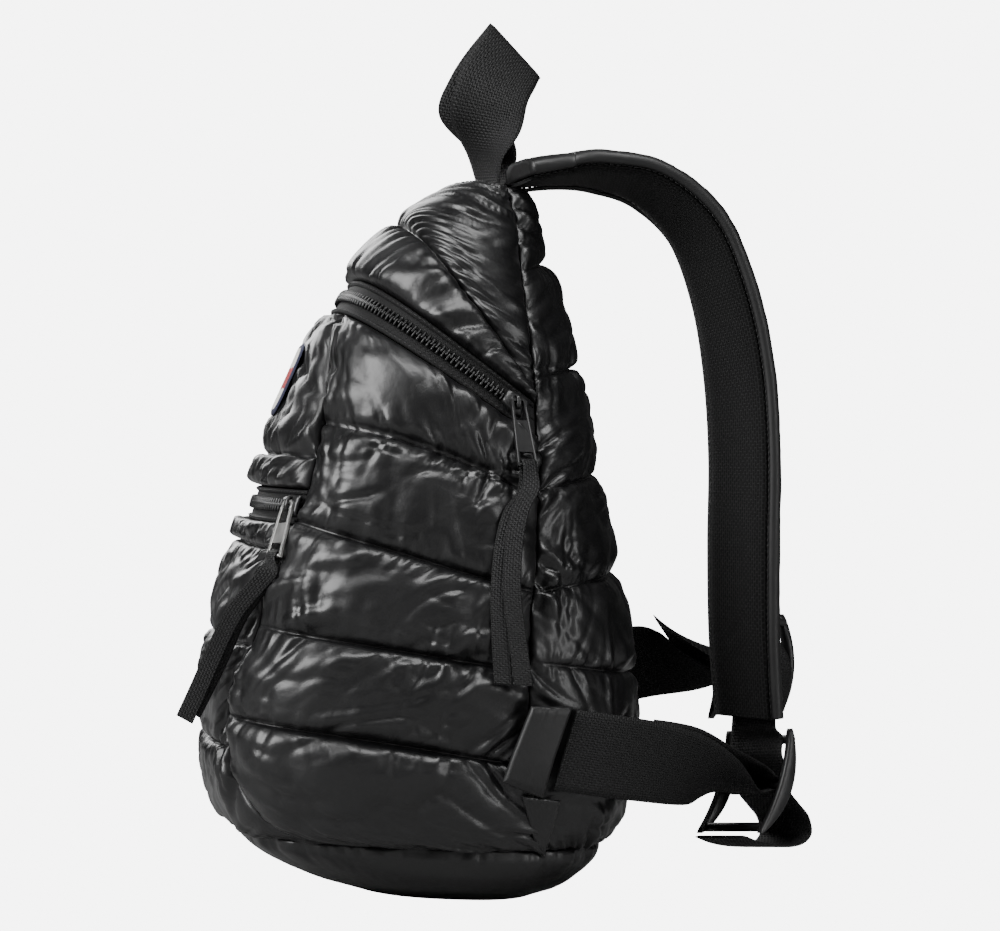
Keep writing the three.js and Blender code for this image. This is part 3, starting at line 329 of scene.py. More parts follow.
def grid_faces(rows, columns, start=0, flip=False, closed=False):
    """The quads of a grid of points, row after row, closed round each row if asked."""
    cells = columns if closed else columns - 1
    i, j = np.meshgrid(np.arange(rows - 1), np.arange(cells), indexing="ij")
    here = i * columns + j
    beside = i * columns + (j + 1) % columns
    quads = np.stack([here, beside, beside + columns, here + columns], axis=-1).reshape(-1, 4)
    return start + (quads[:, ::-1] if flip else quads)


def shell(name, outer, inner, uv=None):
    """A closed wall: an outer and an inner grid of the same size, joined round their edges."""
    rows, columns = outer.shape[:2]
    inside = rows * columns
    along = np.arange(columns - 1)
    top = (rows - 1) * columns + along
    left = np.arange(rows - 1) * columns
    right = left + columns - 1
    edges = [(along + 1, along), (top, top + 1), (left, left + columns), (right + columns, right)]
    faces = [grid_faces(rows, columns), grid_faces(rows, columns, inside, flip=True)]
    for a, b in edges:
        faces.append(np.stack([a, b, inside + b, inside + a], axis=-1))
    points = np.concatenate([outer.reshape(-1, 3), inner.reshape(-1, 3)])
    if uv is None:
        uv = surface_uv(outer)
    return mesh_of(name, points, np.concatenate(faces), np.concatenate([uv, uv]))


def lengths(points):
    """The length run along a row of points, at each of them."""
    return np.concatenate([[0], np.cumsum(np.linalg.norm(np.diff(points, axis=0), axis=1))])


def surface_uv(grid):
    """Lengths in metres along the middle row and the middle column of a grid of points."""
    rows, columns = grid.shape[:2]
    u, v = lengths(grid[rows // 2]) * 0.001, lengths(grid[:, columns // 2]) * 0.001
    return np.stack(np.meshgrid(u, v), axis=-1).reshape(-1, 2)


def joined(parts):
    """Several (points, faces, uv) triples as one. Where uv is None, it is all nought."""
    points, faces, uvs, start = [], [], [], 0
    for part_points, part_faces, part_uv in parts:
        points.append(part_points.reshape(-1, 3))
        faces.append(part_faces + start)
        count = len(points[-1])
        uvs.append(np.zeros((count, 2)) if part_uv is None else part_uv.reshape(-1, 2))
        start += count
    return np.concatenate(points), np.concatenate(faces), np.concatenate(uvs)


# Quilted panels
def eased(count, ease):
    """Even steps from 0 towards 1, drawn closer together near both ends by a sine."""
    step = np.arange(count) / count
    return step - np.sin(2 * np.pi * step) / (2 * np.pi) * ease


def gathers(along, distance, seeds, lean, strength, table):
    """Creases that start at a seam, where they have no height, and fade as they leave it. Lean
    and strength are noises, each with its length in mm, its row and its size. The table gives
    each kind of crease its spacing, its row, its length in mm, its height and its fading."""
    length, row, size = lean
    slant = noise(along / length, row, seeds[0]) * distance * size
    length, row, size = strength
    lift = 0
    for (spacing, crease_row, run, height, fade), seed in zip(table, seeds[2:]):
        crease = creases((along + slant) / spacing, crease_row + distance / run, seed)
        lift = lift + height * crease * np.exp(-distance / fade)
    force = 0.6 + size * np.maximum(0, noise(along / length, row, seeds[1]))
    return force * (1 - np.exp(-distance / 1.6)) * lift


def quilted_panel(left, right, lines, puff, seed, columns=()):
    """The outer and inner grids of a quilted panel. A point of the body is lifted along its
    normal by puff times the pillow section of its channel and of its column, plus

    - gathers at each seam: creases across the seam that lean and fade as they leave it,
    - long folds that fan out from the panel's two edges,
    - broad and fine crumples over the filling, and its slow unevenness.

    A soft limit one millimetre over the puff keeps the highest folds under what lies on them.
    """
    z_mid = [np.mean(line_height(line, 0.5, np.array([1.9]))) for line in lines]
    levels = []
    for k in range(len(lines) - 1):
        count = max(12, int(round((z_mid[k + 1] - z_mid[k]) / CELL)))
        levels.append(np.stack([np.full(count, k), eased(count, 0.35)], axis=-1))
    levels = np.concatenate([*levels, [[len(lines) - 2, 1.0]]])
    channel, share = levels[:, 0].astype(int), levels[:, 1]

    def heights(s, angle):
        """Each level's height at a share of the way across, and its channel's height there."""
        low = np.zeros(np.broadcast(s, angle).shape)
        high = low.copy()
        s, angle = np.broadcast_to(s, low.shape), np.broadcast_to(angle, low.shape)
        for k in range(len(lines) - 1):
            rows = channel == k
            low[rows] = line_height(lines[k], s[rows], angle[rows])
            high[rows] = line_height(lines[k + 1], s[rows], angle[rows])
        mix = share if low.ndim == 1 else share[:, None]
        return low + (high - low) * mix, high - low

    def edge(s, seam, guess):
        """The angle of each level's end on a seam, found by going back and forth a few times."""
        angle = seam(heights(s, np.full(len(levels), guess))[0])
        for _ in range(8):
            angle = seam(heights(s, np.abs(angle))[0])
        return angle

    start, end = edge(0.0, left, 1.0), edge(1.0, right, 1.5)
    row = len(levels) // 3
    reach = body_point(np.linspace(start[row], end[row], 60), np.full(60, np.mean(z_mid)))
    width = lengths(reach)[-1]
    seams = [0.0, *columns, 1.0]
    across, column_share, column_width = [], [], []
    for first, last in zip(seams[:-1], seams[1:]):
        part = last - first
        count = max(12, int(round(part * width / CELL)))
        within = eased(count, 0.3)
        across.append(first + part * within)
        column_share.append(within)
        column_width.append(np.full(count, part))
    across = np.concatenate([*across, [1.0]])
    column_share = np.concatenate([*column_share, [1.0]])[None]
    column_width = np.concatenate([*column_width, [seams[-1] - seams[-2]]])[None]
    angle = start[:, None] + (end - start)[:, None] * across[None]
    z, tall = heights(across[None], np.abs(angle))
    z[0] += SEAM_GAP / 2
    z[-1] -= SEAM_GAP / 2
    surface = body_point(angle, z)
    normal = body_normal(angle, z)
    u = np.cumsum(np.linalg.norm(np.diff(surface, axis=1), axis=2), axis=1)
    u = np.concatenate([np.zeros((len(levels), 1)), u], axis=1)
    length = np.maximum(u[:, -1:], 1.0)
    inset = np.zeros_like(angle)
    inset[:, 0] = SEAM_GAP / 2 * (end - start) / length[:, 0]
    inset[:, -1] = -inset[:, 0]
    surface = body_point(angle + inset, z)

    share = share[:, None]
    pillow = fullness(share) * fullness(column_share)
    lift = puff * pillow * (1 + 0.13 * noise(u / 46, z / 38, seed))
    for distance, line_row in ((share * tall, 0.0), ((1 - share) * tall, 3.7)):
        row = channel[:, None] * 3.7 + line_row
        lift += gathers(
            u, distance, seed + np.array([5, 7, 11, 13]), (30, row, 0.7), (26, row + 0.4, 1.0),
            [(3.6, row, 26, 1.5, 6.0), (9.0, row, 40, 2.7, 15.0)],
        )
    for share_of, side in ((column_share, 1), (1 - column_share, 2)):
        distance = share_of * column_width * length
        lift += gathers(
            z, distance, seed + np.array([19, 17, 23, 29]), (30, side * 9.0, 0.9),
            (22, side * 5.0, 1.1), [(4.8, side * 7, 30, 1.3, 7.0), (11.0, side * 4, 60, 3.2, 26.0)],
        )
    bend = 6 * noise(u / 28, z / 28, seed + 41)
    folds = creases((u + 0.5 * z + bend) / 34, (z - 0.35 * u + bend) / 12, seed + 31, 0.1)
    fine = creases((u - 0.8 * z + bend) / 12, (z + 0.3 * u) / 6.5, seed + 37, 0.1)
    patches = np.clip(0.35 + noise(u / 35, z / 30, seed + 43), 0, 1)
    lift += (1.7 * folds + fine * patches) * pillow
    highest, softness = puff + 1.0, 0.6
    lift = highest - softness * np.logaddexp(0, (highest - lift) / softness)
    lift = np.maximum(lift, -softness)
    lift[0], lift[-1] = 0, 0
    lift[:, 0], lift[:, -1] = 0, 0
    return surface + normal * lift[..., None], surface - normal * WALL


def mirrored(grid):
    """The other side's copy of a grid, turned so that its faces still point outwards."""
    return grid[:, ::-1] * np.array([-1.0, 1.0, 1.0])


def base_tray():
    """Rings of the body from the panels' lower edge to the resting face, pushed out level by
    BASE_PUFF times a pillow section, with gathers that fade towards the floor."""
    count, rows = 420, 26
    down = np.linspace(0, 1, rows)
    z = (BASE_EDGE + SEAM_GAP / 2 - PART_GAP) * (1 - down) ** 1.15
    z[-1] = 0
    angle = np.linspace(0, 2 * np.pi, count, endpoint=False)[None]
    z_grid = np.broadcast_to(z[:, None], (rows, count))
    point = body_point(angle, z_grid)
    flat = unit(body_normal(angle, np.maximum(z_grid, 1.0)) * np.array([1.0, 1.0, 0.0]))
    puff = np.interp(z, [0, 6, 15, 24, 30.5], [0, 0.8, 1.0, 0.75, 0])
    round_length = angle * 100
    small = creases(round_length / 7.0, z_grid / 22, 301) * np.exp(-(BASE_EDGE - z_grid) / 9)
    large = creases(round_length / 16.0, z_grid / 30, 302) * np.sqrt(np.clip(z_grid / 20, 0, 1))
    near = np.clip(z_grid / 6, 0, 1) * (z_grid < BASE_EDGE)
    lift = BASE_PUFF * puff[:, None] + (1.3 * small + large) * near
    lift[0], lift[-1] = 0, 0
    outer = point + flat * lift[..., None]
    inner = point - flat * BASE_WALL
    inner[..., 2] = np.maximum(inner[..., 2], BASE_WALL)
    centre = np.array([0, point[-1, :, 1].mean(), 0.0])
    shrink = np.array([0.66, 0.33, 0.02])[:, None, None]
    floor_rings = centre + (outer[-1][None] - centre) * shrink
    inner_rings = centre + (inner[-1][None] - centre) * shrink
    inner_rings[..., 2] = BASE_WALL
    outer = np.concatenate([outer, floor_rings])
    inner = np.concatenate([inner, inner_rings])
    rings = len(outer)
    inside = rings * count
    here = np.arange(count)
    beside = (here + 1) % count
    last = (rings - 1) * count
    faces = [
        grid_faces(rings, count, 0, flip=True, closed=True),
        grid_faces(rings, count, inside, closed=True),
        np.stack([here, beside, inside + beside, inside + here], axis=-1),
        last + np.stack([beside, here, inside + here, inside + beside], axis=-1),
    ]
    points = np.concatenate([outer.reshape(-1, 3), inner.reshape(-1, 3)])
    u = np.broadcast_to(angle * 0.1, (rings, count))
    v = np.broadcast_to(np.arange(rings)[:, None] * 0.0012, (rings, count))
    uv = np.stack([u, v], axis=-1).reshape(-1, 2)
    return mesh_of("base_tray", points, np.concatenate(faces), np.concatenate([uv, uv]))


# Bands along the zips
MAIN_ZIP = {"low": ZIP_LOW, "high": ZIP_HIGH, "seam": back_seam}
POCKET_OPENING = {
    "low": flat_line(POCKET_ZIP),
    "high": flat_line(POCKET_ZIP + ZIP_OPENING),
    "seam": front_seam,
}


def band_end(opening, share):
    """The angle at which a share of a zip's opening meets its seam."""
    share = np.atleast_1d(np.asarray(share, float))
    angle = np.full(share.shape, math.pi / 2)
    for _ in range(10):
        bottom = line_height(opening["low"], 0.5, angle) * np.ones_like(angle)
        top = line_height(opening["high"], 0.5, angle)
        angle = opening["seam"](bottom + (top - bottom) * share)
    return angle - 2 * SEAM_GAP / BODY_WIDTH


def over_zip(opening, share, round_, lift):
    """A point over a zip's opening: a share of the way up, a share of the way round, and lifted
    off the body. The three are arrays of one shape."""
    share, round_, lift = np.broadcast_arrays(share, round_, lift)
    levels, back = np.unique(share, return_inverse=True)
    angle = band_end(opening, levels)[back].reshape(share.shape) * round_
    bottom = line_height(opening["low"], 0.5, np.abs(angle)) * np.ones_like(angle)
    top = line_height(opening["high"], 0.5, np.abs(angle)) * np.ones_like(angle)
    z = bottom + (top - bottom) * share
    return body_point(angle, z) + body_normal(angle, z) * lift[..., None]


def zip_band(opening, shares, lifts, reach, cells):
    """A closed band whose outer face passes the given shares and lifts, row by row."""
    round_ = np.linspace(-reach, reach, cells)[None]
    shares, lifts = np.asarray(shares)[:, None], np.asarray(lifts)[:, None]
    outer = over_zip(opening, shares, round_, lifts)
    inner = over_zip(opening, shares, round_, np.full_like(lifts, -TAPE))
    return outer, inner


def frames_along(points, rise):
    """Unit vectors along a row of points, up the surface and out of it."""
    along = unit(np.gradient(points, axis=0))
    rise = unit(rise - along * np.sum(rise * along, axis=1, keepdims=True))
    return along, rise, np.cross(along, rise)


def tooth():
    """One moulded tooth as rings of a rounded box. It runs from its tape, at -Y, to its head."""
    place = np.array([-3.5, -3.3, -2.2, -0.9, -0.2, 0.55, 0.95, 1.05])
    half_width = np.array([0.15, 0.62, 0.66, 0.5, 0.72, 0.78, 0.5, 0.1])
    half_height = np.array([0.2, 0.85, 1.2, 1.3, 1.32, 1.3, 1.0, 0.15])
    turn = np.linspace(0, 2 * np.pi, 8, endpoint=False) + np.pi / 8
    corner = lambda values: np.sign(values) * np.abs(values) ** 0.7
    x = half_width[:, None] * corner(np.cos(turn))[None]
    z = half_height[:, None] * corner(np.sin(turn))[None]
    y = np.broadcast_to(place[:, None], x.shape)
    points = np.stack([x, y, z], axis=-1)
    faces = grid_faces(len(place), 8, closed=True)
    return points.reshape(-1, 3), faces, np.stack([x, y], axis=-1).reshape(-1, 2) * 0.001


def zip_chain(name, opening, reach):
    """Teeth at every pitch along both edges of the tape, those of one side half a pitch on. The
    places come from the length measured along the opening's middle."""
    fine = np.linspace(-reach, reach, 1200)
    middle = over_zip(opening, 0.5, fine, CHAIN_HEIGHT / 2 + PART_GAP)
    length = lengths(middle)
    shape, faces, uv = tooth()
    parts = []
    for side, shift in ((1, 0.25), (-1, 0.75)):
        count = int(length[-1] / TOOTH_PITCH) - 1
        marks = (np.arange(count) + shift) * TOOTH_PITCH
        where = np.interp(marks, length, fine)
        centre = over_zip(opening, 0.5, where, CHAIN_HEIGHT / 2 + PART_GAP)
        rise = over_zip(opening, 0.6, where, 0.0) - over_zip(opening, 0.4, where, 0.0)
        along, rise, out = frames_along(centre, rise)
        points = (
            centre[:, None]
            + along[:, None] * shape[None, :, 0:1] * side
            + rise[:, None] * shape[None, :, 1:2] * side
            + out[:, None] * shape[None, :, 2:3]
        )
        starts = np.arange(count)[:, None, None] * len(shape)
        parts.append((points, (faces[None] + starts).reshape(-1, 4), np.tile(uv, (count, 1))))
    return mesh_of(name, *joined(parts))


def tubes_along(lines, radius, sides=8, squash=1.0):
    """Round cords along rows of points, each with its ends drawn in."""
    parts = []
    for points, normal in lines:
        along = unit(np.gradient(points, axis=0))
        side = unit(np.cross(normal, along))
        out = np.cross(along, side)
        turn = np.linspace(0, 2 * np.pi, sides, endpoint=False)
        taper = np.ones(len(points))
        taper[0] = taper[-1] = 0.15
        size = radius * taper[:, None, None]
        ring = (
            points[:, None]
            + side[:, None] * np.cos(turn)[None, :, None] * size
            + out[:, None] * np.sin(turn)[None, :, None] * size * squash
        )
        faces = grid_faces(len(points), sides, closed=True)
        parts.append((ring, faces, None))
    return joined(parts)


def stitches(points, normal):
    """Short threads along a row of points: rings of six corners that draw in at both ends."""
    length, pitch, radius = 2.4, 3.3, 0.24
    step = lengths(points)
    starts = np.arange(pitch / 2, step[-1] - pitch / 2, pitch)
    at = lambda where, values: np.stack([np.interp(where, step, v) for v in values.T], axis=-1)
    place = at(starts, points)
    out = unit(at(starts, normal))
    along = unit(at(starts + 0.5, points) - place)
    side = np.cross(along, out)
    run = np.array([-0.5, -0.42, -0.2, 0.2, 0.42, 0.5])
    size = np.array([0.1, 0.75, 1.0, 1.0, 0.75, 0.1]) * radius
    sink = np.array([-0.3, -0.08, 0.05, 0.05, -0.08, -0.3])
    turn = np.linspace(0, 2 * np.pi, 6, endpoint=False)
    ring = (
        place[:, None, None]
        + along[:, None, None] * (run * length)[None, :, None, None]
        + out[:, None, None] * (sink[:, None] + size[:, None] * np.sin(turn))[None, ..., None]
        + side[:, None, None] * (size[:, None] * np.cos(turn))[None, ..., None]
    )
    faces = grid_faces(6, 6, closed=True)
    shift = np.arange(len(starts))[:, None, None] * 36
    return ring, (faces[None] + shift).reshape(-1, 4), None


# Routes of straps, webbing and ribbons
def route(rows, columns):
    """Catmull-Rom through every row: the value of each column at t, in rows."""
    table = np.array(rows, float)

    def value(t):
        i = np.clip(np.floor(t).astype(int), 0, len(table) - 2)
        f = (t - i)[:, None]
        a = table[np.maximum(i - 1, 0)]
        b, c = table[i], table[i + 1]
        d = table[np.minimum(i + 2, len(table) - 1)]
        return b + 0.5 * f * (c - a + f * (2 * a - 5 * b + 4 * c - d + f * (3 * (b - c) + d - a)))

    return value


def sweep(rows, per_row, section, square=False):
    """Carries a section along a route. A row is x, y, z, three parts of the direction across, and
    a width; section(width, t) gives each corner's distance across and off the band's face. The
    rows' directions are made square to the route if asked, as on the stiff pads."""
    value = route(rows, 7)
    t = np.linspace(0, len(rows) - 1, (len(rows) - 1) * per_row + 1)
    at = value(t)
    ahead, behind = np.minimum(t + 0.05, len(rows) - 1), np.maximum(t - 0.05, 0)
    tangent = unit(value(ahead)[:, :3] - value(behind)[:, :3])
    across = at[:, 3:6]
    if square:
        across = across - tangent * np.sum(across * tangent, axis=1, keepdims=True)
    across = unit(across)
    off = unit(np.cross(tangent, across))
    a, b = section(at[:, 6], t)
    points = at[:, None, :3] + across[:, None] * a[..., None] + off[:, None] * b[..., None]
    uv = np.stack(np.broadcast_arrays(lengths(at[:, :3])[:, None], a), axis=-1) * 0.001
    return points, uv, {"centre": at[:, :3], "across": across, "off": off, "width": at[:, 6]}


def closed_sweep(name, points, uv):
    """A mesh of closed rings with a centre fan drawn to a point at each end."""
    rings, corners = points.shape[:2]
    first, last = points[:1].mean(axis=1, keepdims=True), points[-1:].mean(axis=1, keepdims=True)
    shrunk = [first + (points[:1] - first) * k for k in (0.02, 0.6)]
    shrunk_end = [last + (points[-1:] - last) * k for k in (0.6, 0.02)]
    points = np.concatenate([*shrunk, points, *shrunk_end])
    uv = np.concatenate([uv[:1], uv[:1], uv, uv[-1:], uv[-1:]])
    return mesh_of(name, points, grid_faces(rings + 4, corners, flip=True, closed=True), uv)


def swept_piece(name, rows, per_row, section, *looks):
    """A piece whose shape is a section carried along a route."""
    points, uv, _ = sweep(rows, per_row, section)
    return piece(name, closed_sweep(name, points, uv), *looks)


def band_section(thickness, cells=14):
    """A flat band with round edges, given as a closed ring: across and off its face."""
    def section(width, t):
        s = np.linspace(-1, 1, cells)
        face = thickness / 2 * np.sqrt(np.maximum(0.12, 1 - np.abs(s) ** 14))
        a = width[:, None] / 2 * np.concatenate([s, s[::-1]])[None]
        return a, np.broadcast_to(np.concatenate([-face, face[::-1]])[None], a.shape)

    return section


def shares_to_mm(rows):
    """Rows that begin with x, y and z as shares of the body's width, depth and height."""
    table = np.array(rows, float)
    table[:, :3] *= BODY_SIZE
    return table


# The pads: x, y and z as shares, turn in degrees, width as a share of PAD_WIDTH
PAD_RIGHT = [
    (0.164, 0.0608, 1.0098, 3, 0.56), (0.1352, 0.1712, 1.0211, 5, 0.88),
    (0.1516, 0.2703, 1.0224, 8, 0.97), (0.1639, 0.3829, 1.0053, 12, 1),
    (0.1762, 0.491, 0.95, 16, 1), (0.1844, 0.5631, 0.8579, 18, 1),
    (0.1885, 0.6081, 0.75, 20, 1), (0.1926, 0.6306, 0.6316, 20, 1),
    (0.1926, 0.6396, 0.5053, 20, 1), (0.1926, 0.6532, 0.3763, 20, 0.98),
    (0.1926, 0.6757, 0.2632, 20, 0.94),
]
PAD_LEFT = [
    (-0.164, 0.0608, 1.0098, -3, 0.56), (-0.1352, 0.1757, 1.0211, -5, 0.88),
    (-0.1516, 0.2793, 1.0224, -8, 0.97), (-0.168, 0.3964, 1.0079, -11, 1),
    (-0.1844, 0.5135, 0.9579, -14, 1), (-0.1926, 0.5991, 0.8684, -16, 1),
    (-0.1967, 0.6532, 0.7632, -17, 1), (-0.1967, 0.6802, 0.65, -18, 1),
    (-0.1926, 0.6892, 0.5579, -20, 1), (-0.1926, 0.7072, 0.4947, -27, 0.98),
    (-0.1967, 0.7297, 0.4368, -43, 0.94),
]


def pad_rows(rows):
    """Gives a pad's rows their direction across from the turn and the way the route runs."""
    table = shares_to_mm(rows)
    ahead = np.concatenate([table[1:], table[-1:]])
    behind = np.concatenate([table[:1], table[:-1]])
    along = unit((ahead - behind)[:, 1:3])
    turn = np.radians(table[:, 3])
    return np.stack([
        table[:, 0], table[:, 1], table[:, 2],
        np.cos(turn), -np.sin(turn) * along[:, 1], np.sin(turn) * along[:, 0],
        table[:, 4] * PAD_WIDTH,
    ], axis=-1)


def buckle_frame(centre, across, along):
    """A buckle's middle and its directions across, along the strap and outwards."""
    x, y = unit(np.array(across, float)), np.array(along, float)
    y = unit(y - x * (x @ y))
    return {"centre": np.array(centre) * BODY_SIZE, "x": x, "y": y, "z": np.cross(x, y)}


BUCKLE_RIGHT = buckle_frame((0.205, 0.6847, 0.171), (0.87, 0.46, 0.12), (0.29, -0.3, -0.95))
BUCKLE_LEFT = buckle_frame((-0.1926, 0.7703, 0.3211), (0.5, -0.866, 0), (0.05, -0.06, -1))
BAR_MIDDLE = BUCKLE_BOW * 0.6
TURN_RADIUS = BUCKLE_BAR / 2 + WEBBING_THICKNESS / 2 + PART_GAP


def buckle_row(buckle, along, out, width=1.0):
    """A row of a route by its distances along the strap and out of the buckle's face."""
    point = buckle["centre"] + buckle["y"] * along + buckle["z"] * out
    return (*point, *buckle["x"], width * WEBBING_WIDTH)


def turn_rows(buckle):
    """The webbing's half turn round the buckle's middle bar."""
    turn = np.radians([-90, -45, 0, 45, 90])
    return [
        buckle_row(buckle, -math.sin(a) * TURN_RADIUS, BAR_MIDDLE + math.cos(a) * TURN_RADIUS)
        for a in turn
    ]


def webbing_rows(rows):
    """Rows of x, y, z as shares and the direction across, and a width share if it isn't 1."""
    width = lambda row: WEBBING_WIDTH * (row[6] if len(row) > 6 else 1.0)
    return [(*(np.array(row[:3]) * BODY_SIZE), *row[3:6], width(row)) for row in rows]


LOWER_RIGHT = [
    *webbing_rows([
        (0.5164, 0.1779, 0.2237, -0.08, 0.26, 1), (0.4877, 0.2883, 0.2158, -0.03, 0.12, 1),
        (0.4344, 0.4099, 0.2066, 0.1, 0.02, 1), (0.3689, 0.5135, 0.1947, 0.4, 0.1, 0.9),
        (0.2951, 0.5946, 0.1789, 0.75, 0.3, 0.55),
    ]),
    buckle_row(BUCKLE_RIGHT, 7.6, -6.4),
    buckle_row(BUCKLE_RIGHT, TURN_RADIUS, 3),
    *turn_rows(BUCKLE_RIGHT),
    buckle_row(BUCKLE_RIGHT, -TURN_RADIUS, 3),
    buckle_row(BUCKLE_RIGHT, -6, -6),
    *webbing_rows([
        (0.2787, 0.5856, 0.1947, 0.75, 0.3, 0.55), (0.3504, 0.5023, 0.2039, 0.4, 0.1, 0.9),
        (0.416, 0.4009, 0.2092, 0.1, 0.02, 1),
    ]),
]
LOWER_LEFT = [
    *webbing_rows([
        (-0.5164, 0.1779, 0.2237, 0.08, 0.26, 1), (-0.4959, 0.2703, 0.2171, 0.05, 0.1, 1),
        (-0.4754, 0.3423, 0.25, 0.02, -0.16, 1), (-0.4467, 0.4144, 0.2868, 0, -0.25, 1),
        (-0.3893, 0.5315, 0.3132, 0.08, -0.3, 0.95), (-0.3443, 0.6216, 0.3184, 0.22, -0.6, 0.75),
        (-0.2951, 0.6892, 0.3184, 0.38, -0.84, 0.3),
    ]),
    buckle_row(BUCKLE_LEFT, TURN_RADIUS, -4),
    *turn_rows(BUCKLE_LEFT),
    buckle_row(BUCKLE_LEFT, -TURN_RADIUS, -4),
    *webbing_rows([
        (-0.2951, 0.679, 0.3437, 0.38, -0.84, 0.3), (-0.3443, 0.6036, 0.3448, 0.22, -0.6, 0.75),
    ]),
]
STRAP_RIGHT = [
    *webbing_rows([
        (0.1869, 0.7, 0.2626, 0.94, 0.34, 0.03), (0.1852, 0.7018, 0.2487, 0.93, 0.36, 0.05),
    ]),
    buckle_row(BUCKLE_RIGHT, -25, -1.6), buckle_row(BUCKLE_RIGHT, -16, 1.5),
    buckle_row(BUCKLE_RIGHT, -8, 9.5), buckle_row(BUCKLE_RIGHT, 0, 13.5),
    buckle_row(BUCKLE_RIGHT, 4, 22), buckle_row(BUCKLE_RIGHT, 8, 31),
    buckle_row(BUCKLE_RIGHT, 16, 36), buckle_row(BUCKLE_RIGHT, 24, 31),
    buckle_row(BUCKLE_RIGHT, 29, 20), buckle_row(BUCKLE_RIGHT, 33, 6),
    buckle_row(BUCKLE_RIGHT, 34, -6),
]
STRAP_LEFT = [
    *webbing_rows([
        (-0.1869, 0.7475, 0.434, 0.73, -0.67, -0.12),
        (-0.1902, 0.752, 0.4224, 0.64, -0.76, -0.06, 0.94),
    ]),
    buckle_row(BUCKLE_LEFT, -33, -4.5, 0.9), buckle_row(BUCKLE_LEFT, -25, -1.7, 0.94),
    buckle_row(BUCKLE_LEFT, -16, 1.5), buckle_row(BUCKLE_LEFT, -8, 9.5),
    buckle_row(BUCKLE_LEFT, 0, 13.5), buckle_row(BUCKLE_LEFT, 12, 12.5),
    buckle_row(BUCKLE_LEFT, 25, 9),
]
HANDLE = [
    (0.0123, 0.0048, 1.0016, 0.97, 0.22, 0, 0.8),
    (0.0143, -0.009, 1.0474, 0.9, 0.42, -0.1, 0.9),
    (0.0369, -0.0135, 1.1, 0.33, 0.93, -0.15, 1),
    (0.041, 0, 1.1474, 0.12, 0.93, -0.35, 1),
    (0.0205, 0.0405, 1.1921, 0, 0.75, -0.66, 1),
    (0, 0.0541, 1.2039, 0, 0.72, -0.69, 1),
    (-0.0205, 0.0405, 1.1921, 0, 0.75, -0.66, 1),
    (-0.0451, -0.009, 1.1474, 0.05, 0.95, -0.3, 1),
    (-0.0451, -0.0315, 1.1, 0.3, 0.92, -0.15, 1),
    (-0.0164, 0.0248, 1.0474, 0.88, 0.46, -0.05, 0.9),
    (-0.0082, 0.0235, 1.0016, 0.97, 0.22, 0, 0.8),
]

# The ribbons' two tails, from their puller down. The main zip's are places over the side, as
# shares of the depth, the height and SIDE_PUFF. The pocket's are x, y and z from its puller's
# foot, as shares of the body's sizes.
MAIN_RIBBON_FRONT = [
    (0.0495, 0.5632, 1.62), (0.0315, 0.5342, 1.54), (0.0225, 0.4895, 1.46),
    (0.0225, 0.4342, 1.46), (0.036, 0.3816, 1.46), (0.0495, 0.3368, 1.5),
    (0.0586, 0.3079, 1.55),
]
MAIN_RIBBON_BACK = [
    (0.0473, 0.5605, 1.16), (0.0203, 0.5342, 1.16), (0.0045, 0.4895, 1.14), (0, 0.4263, 1.14),
    (0.0068, 0.3684, 1.14), (0.018, 0.3079, 1.16),
]
POCKET_RIBBON_FRONT = [
    (0.0242, -0.0125, -0.0207), (0.0119, -0.0463, -0.047), (-0.0086, -0.0877, -0.0825),
    (-0.029, -0.1246, -0.1352), (-0.0372, -0.1544, -0.1825), (-0.0454, -0.1859, -0.2299),
]
POCKET_RIBBON_BACK = [
    (0.0111, -0.0215, -0.0233), (0.0009, -0.0395, -0.0496), (-0.0208, -0.0755, -0.0865),
    (-0.0413, -0.1093, -0.1404), (-0.0495, -0.1408, -0.1852), (-0.0577, -0.1679, -0.222),
]

# The side tabs, a strip and a wing, as places over the side. Rows run upwards.
TAB_STRIP = np.array([
    [[0.027, 0.1816, 1.1], [0.0698, 0.1724, 1.1], [0.1149, 0.1632, 1.1]],
    [[0.0541, 0.2316, 1.1], [0.0968, 0.2276, 1.1], [0.141, 0.2237, 1.1]],
    [[0.0811, 0.2816, 1.1], [0.1239, 0.2816, 1.1], [0.168, 0.2816, 1.1]],
])
TAB_WING = np.array([
    [[0.1036, 0.1158, 0.6], [0.1216, 0.0947, 0.4], [0.1486, 0.0737, 0.25]],
    [[0.0878, 0.1395, 0.95], [0.1171, 0.1289, 0.8], [0.1532, 0.1158, 0.62]],
    [[0.0721, 0.165, 1.12], [0.1171, 0.162, 1.12], [0.1577, 0.1594, 1.0]],
])


def over_side(places, extra=0.0):
    """Points over the +X side: depth share, height share and lift as a share of SIDE_PUFF."""
    places = np.asarray(places, float)
    z = places[..., 1] * BODY_HEIGHT
    angle = angle_at(z, places[..., 0] * BODY_DEPTH)
    lift = places[..., 2] * SIDE_PUFF + extra
    return body_point(angle, z) + body_normal(angle, z) * np.asarray(lift)[..., None]


def finer(grid, rows, columns):
    """A grid of table rows made finer by Catmull-Rom along both of its ways."""
    up = route(grid.reshape(len(grid), -1), 0)(np.linspace(0, len(grid) - 1, rows))
    up = up.reshape(rows, grid.shape[1], grid.shape[2]).transpose(1, 0, 2)
    over = route(up.reshape(len(up), -1), 0)(np.linspace(0, len(up) - 1, columns))
    return over.reshape(columns, rows, grid.shape[2]).transpose(1, 0, 2)


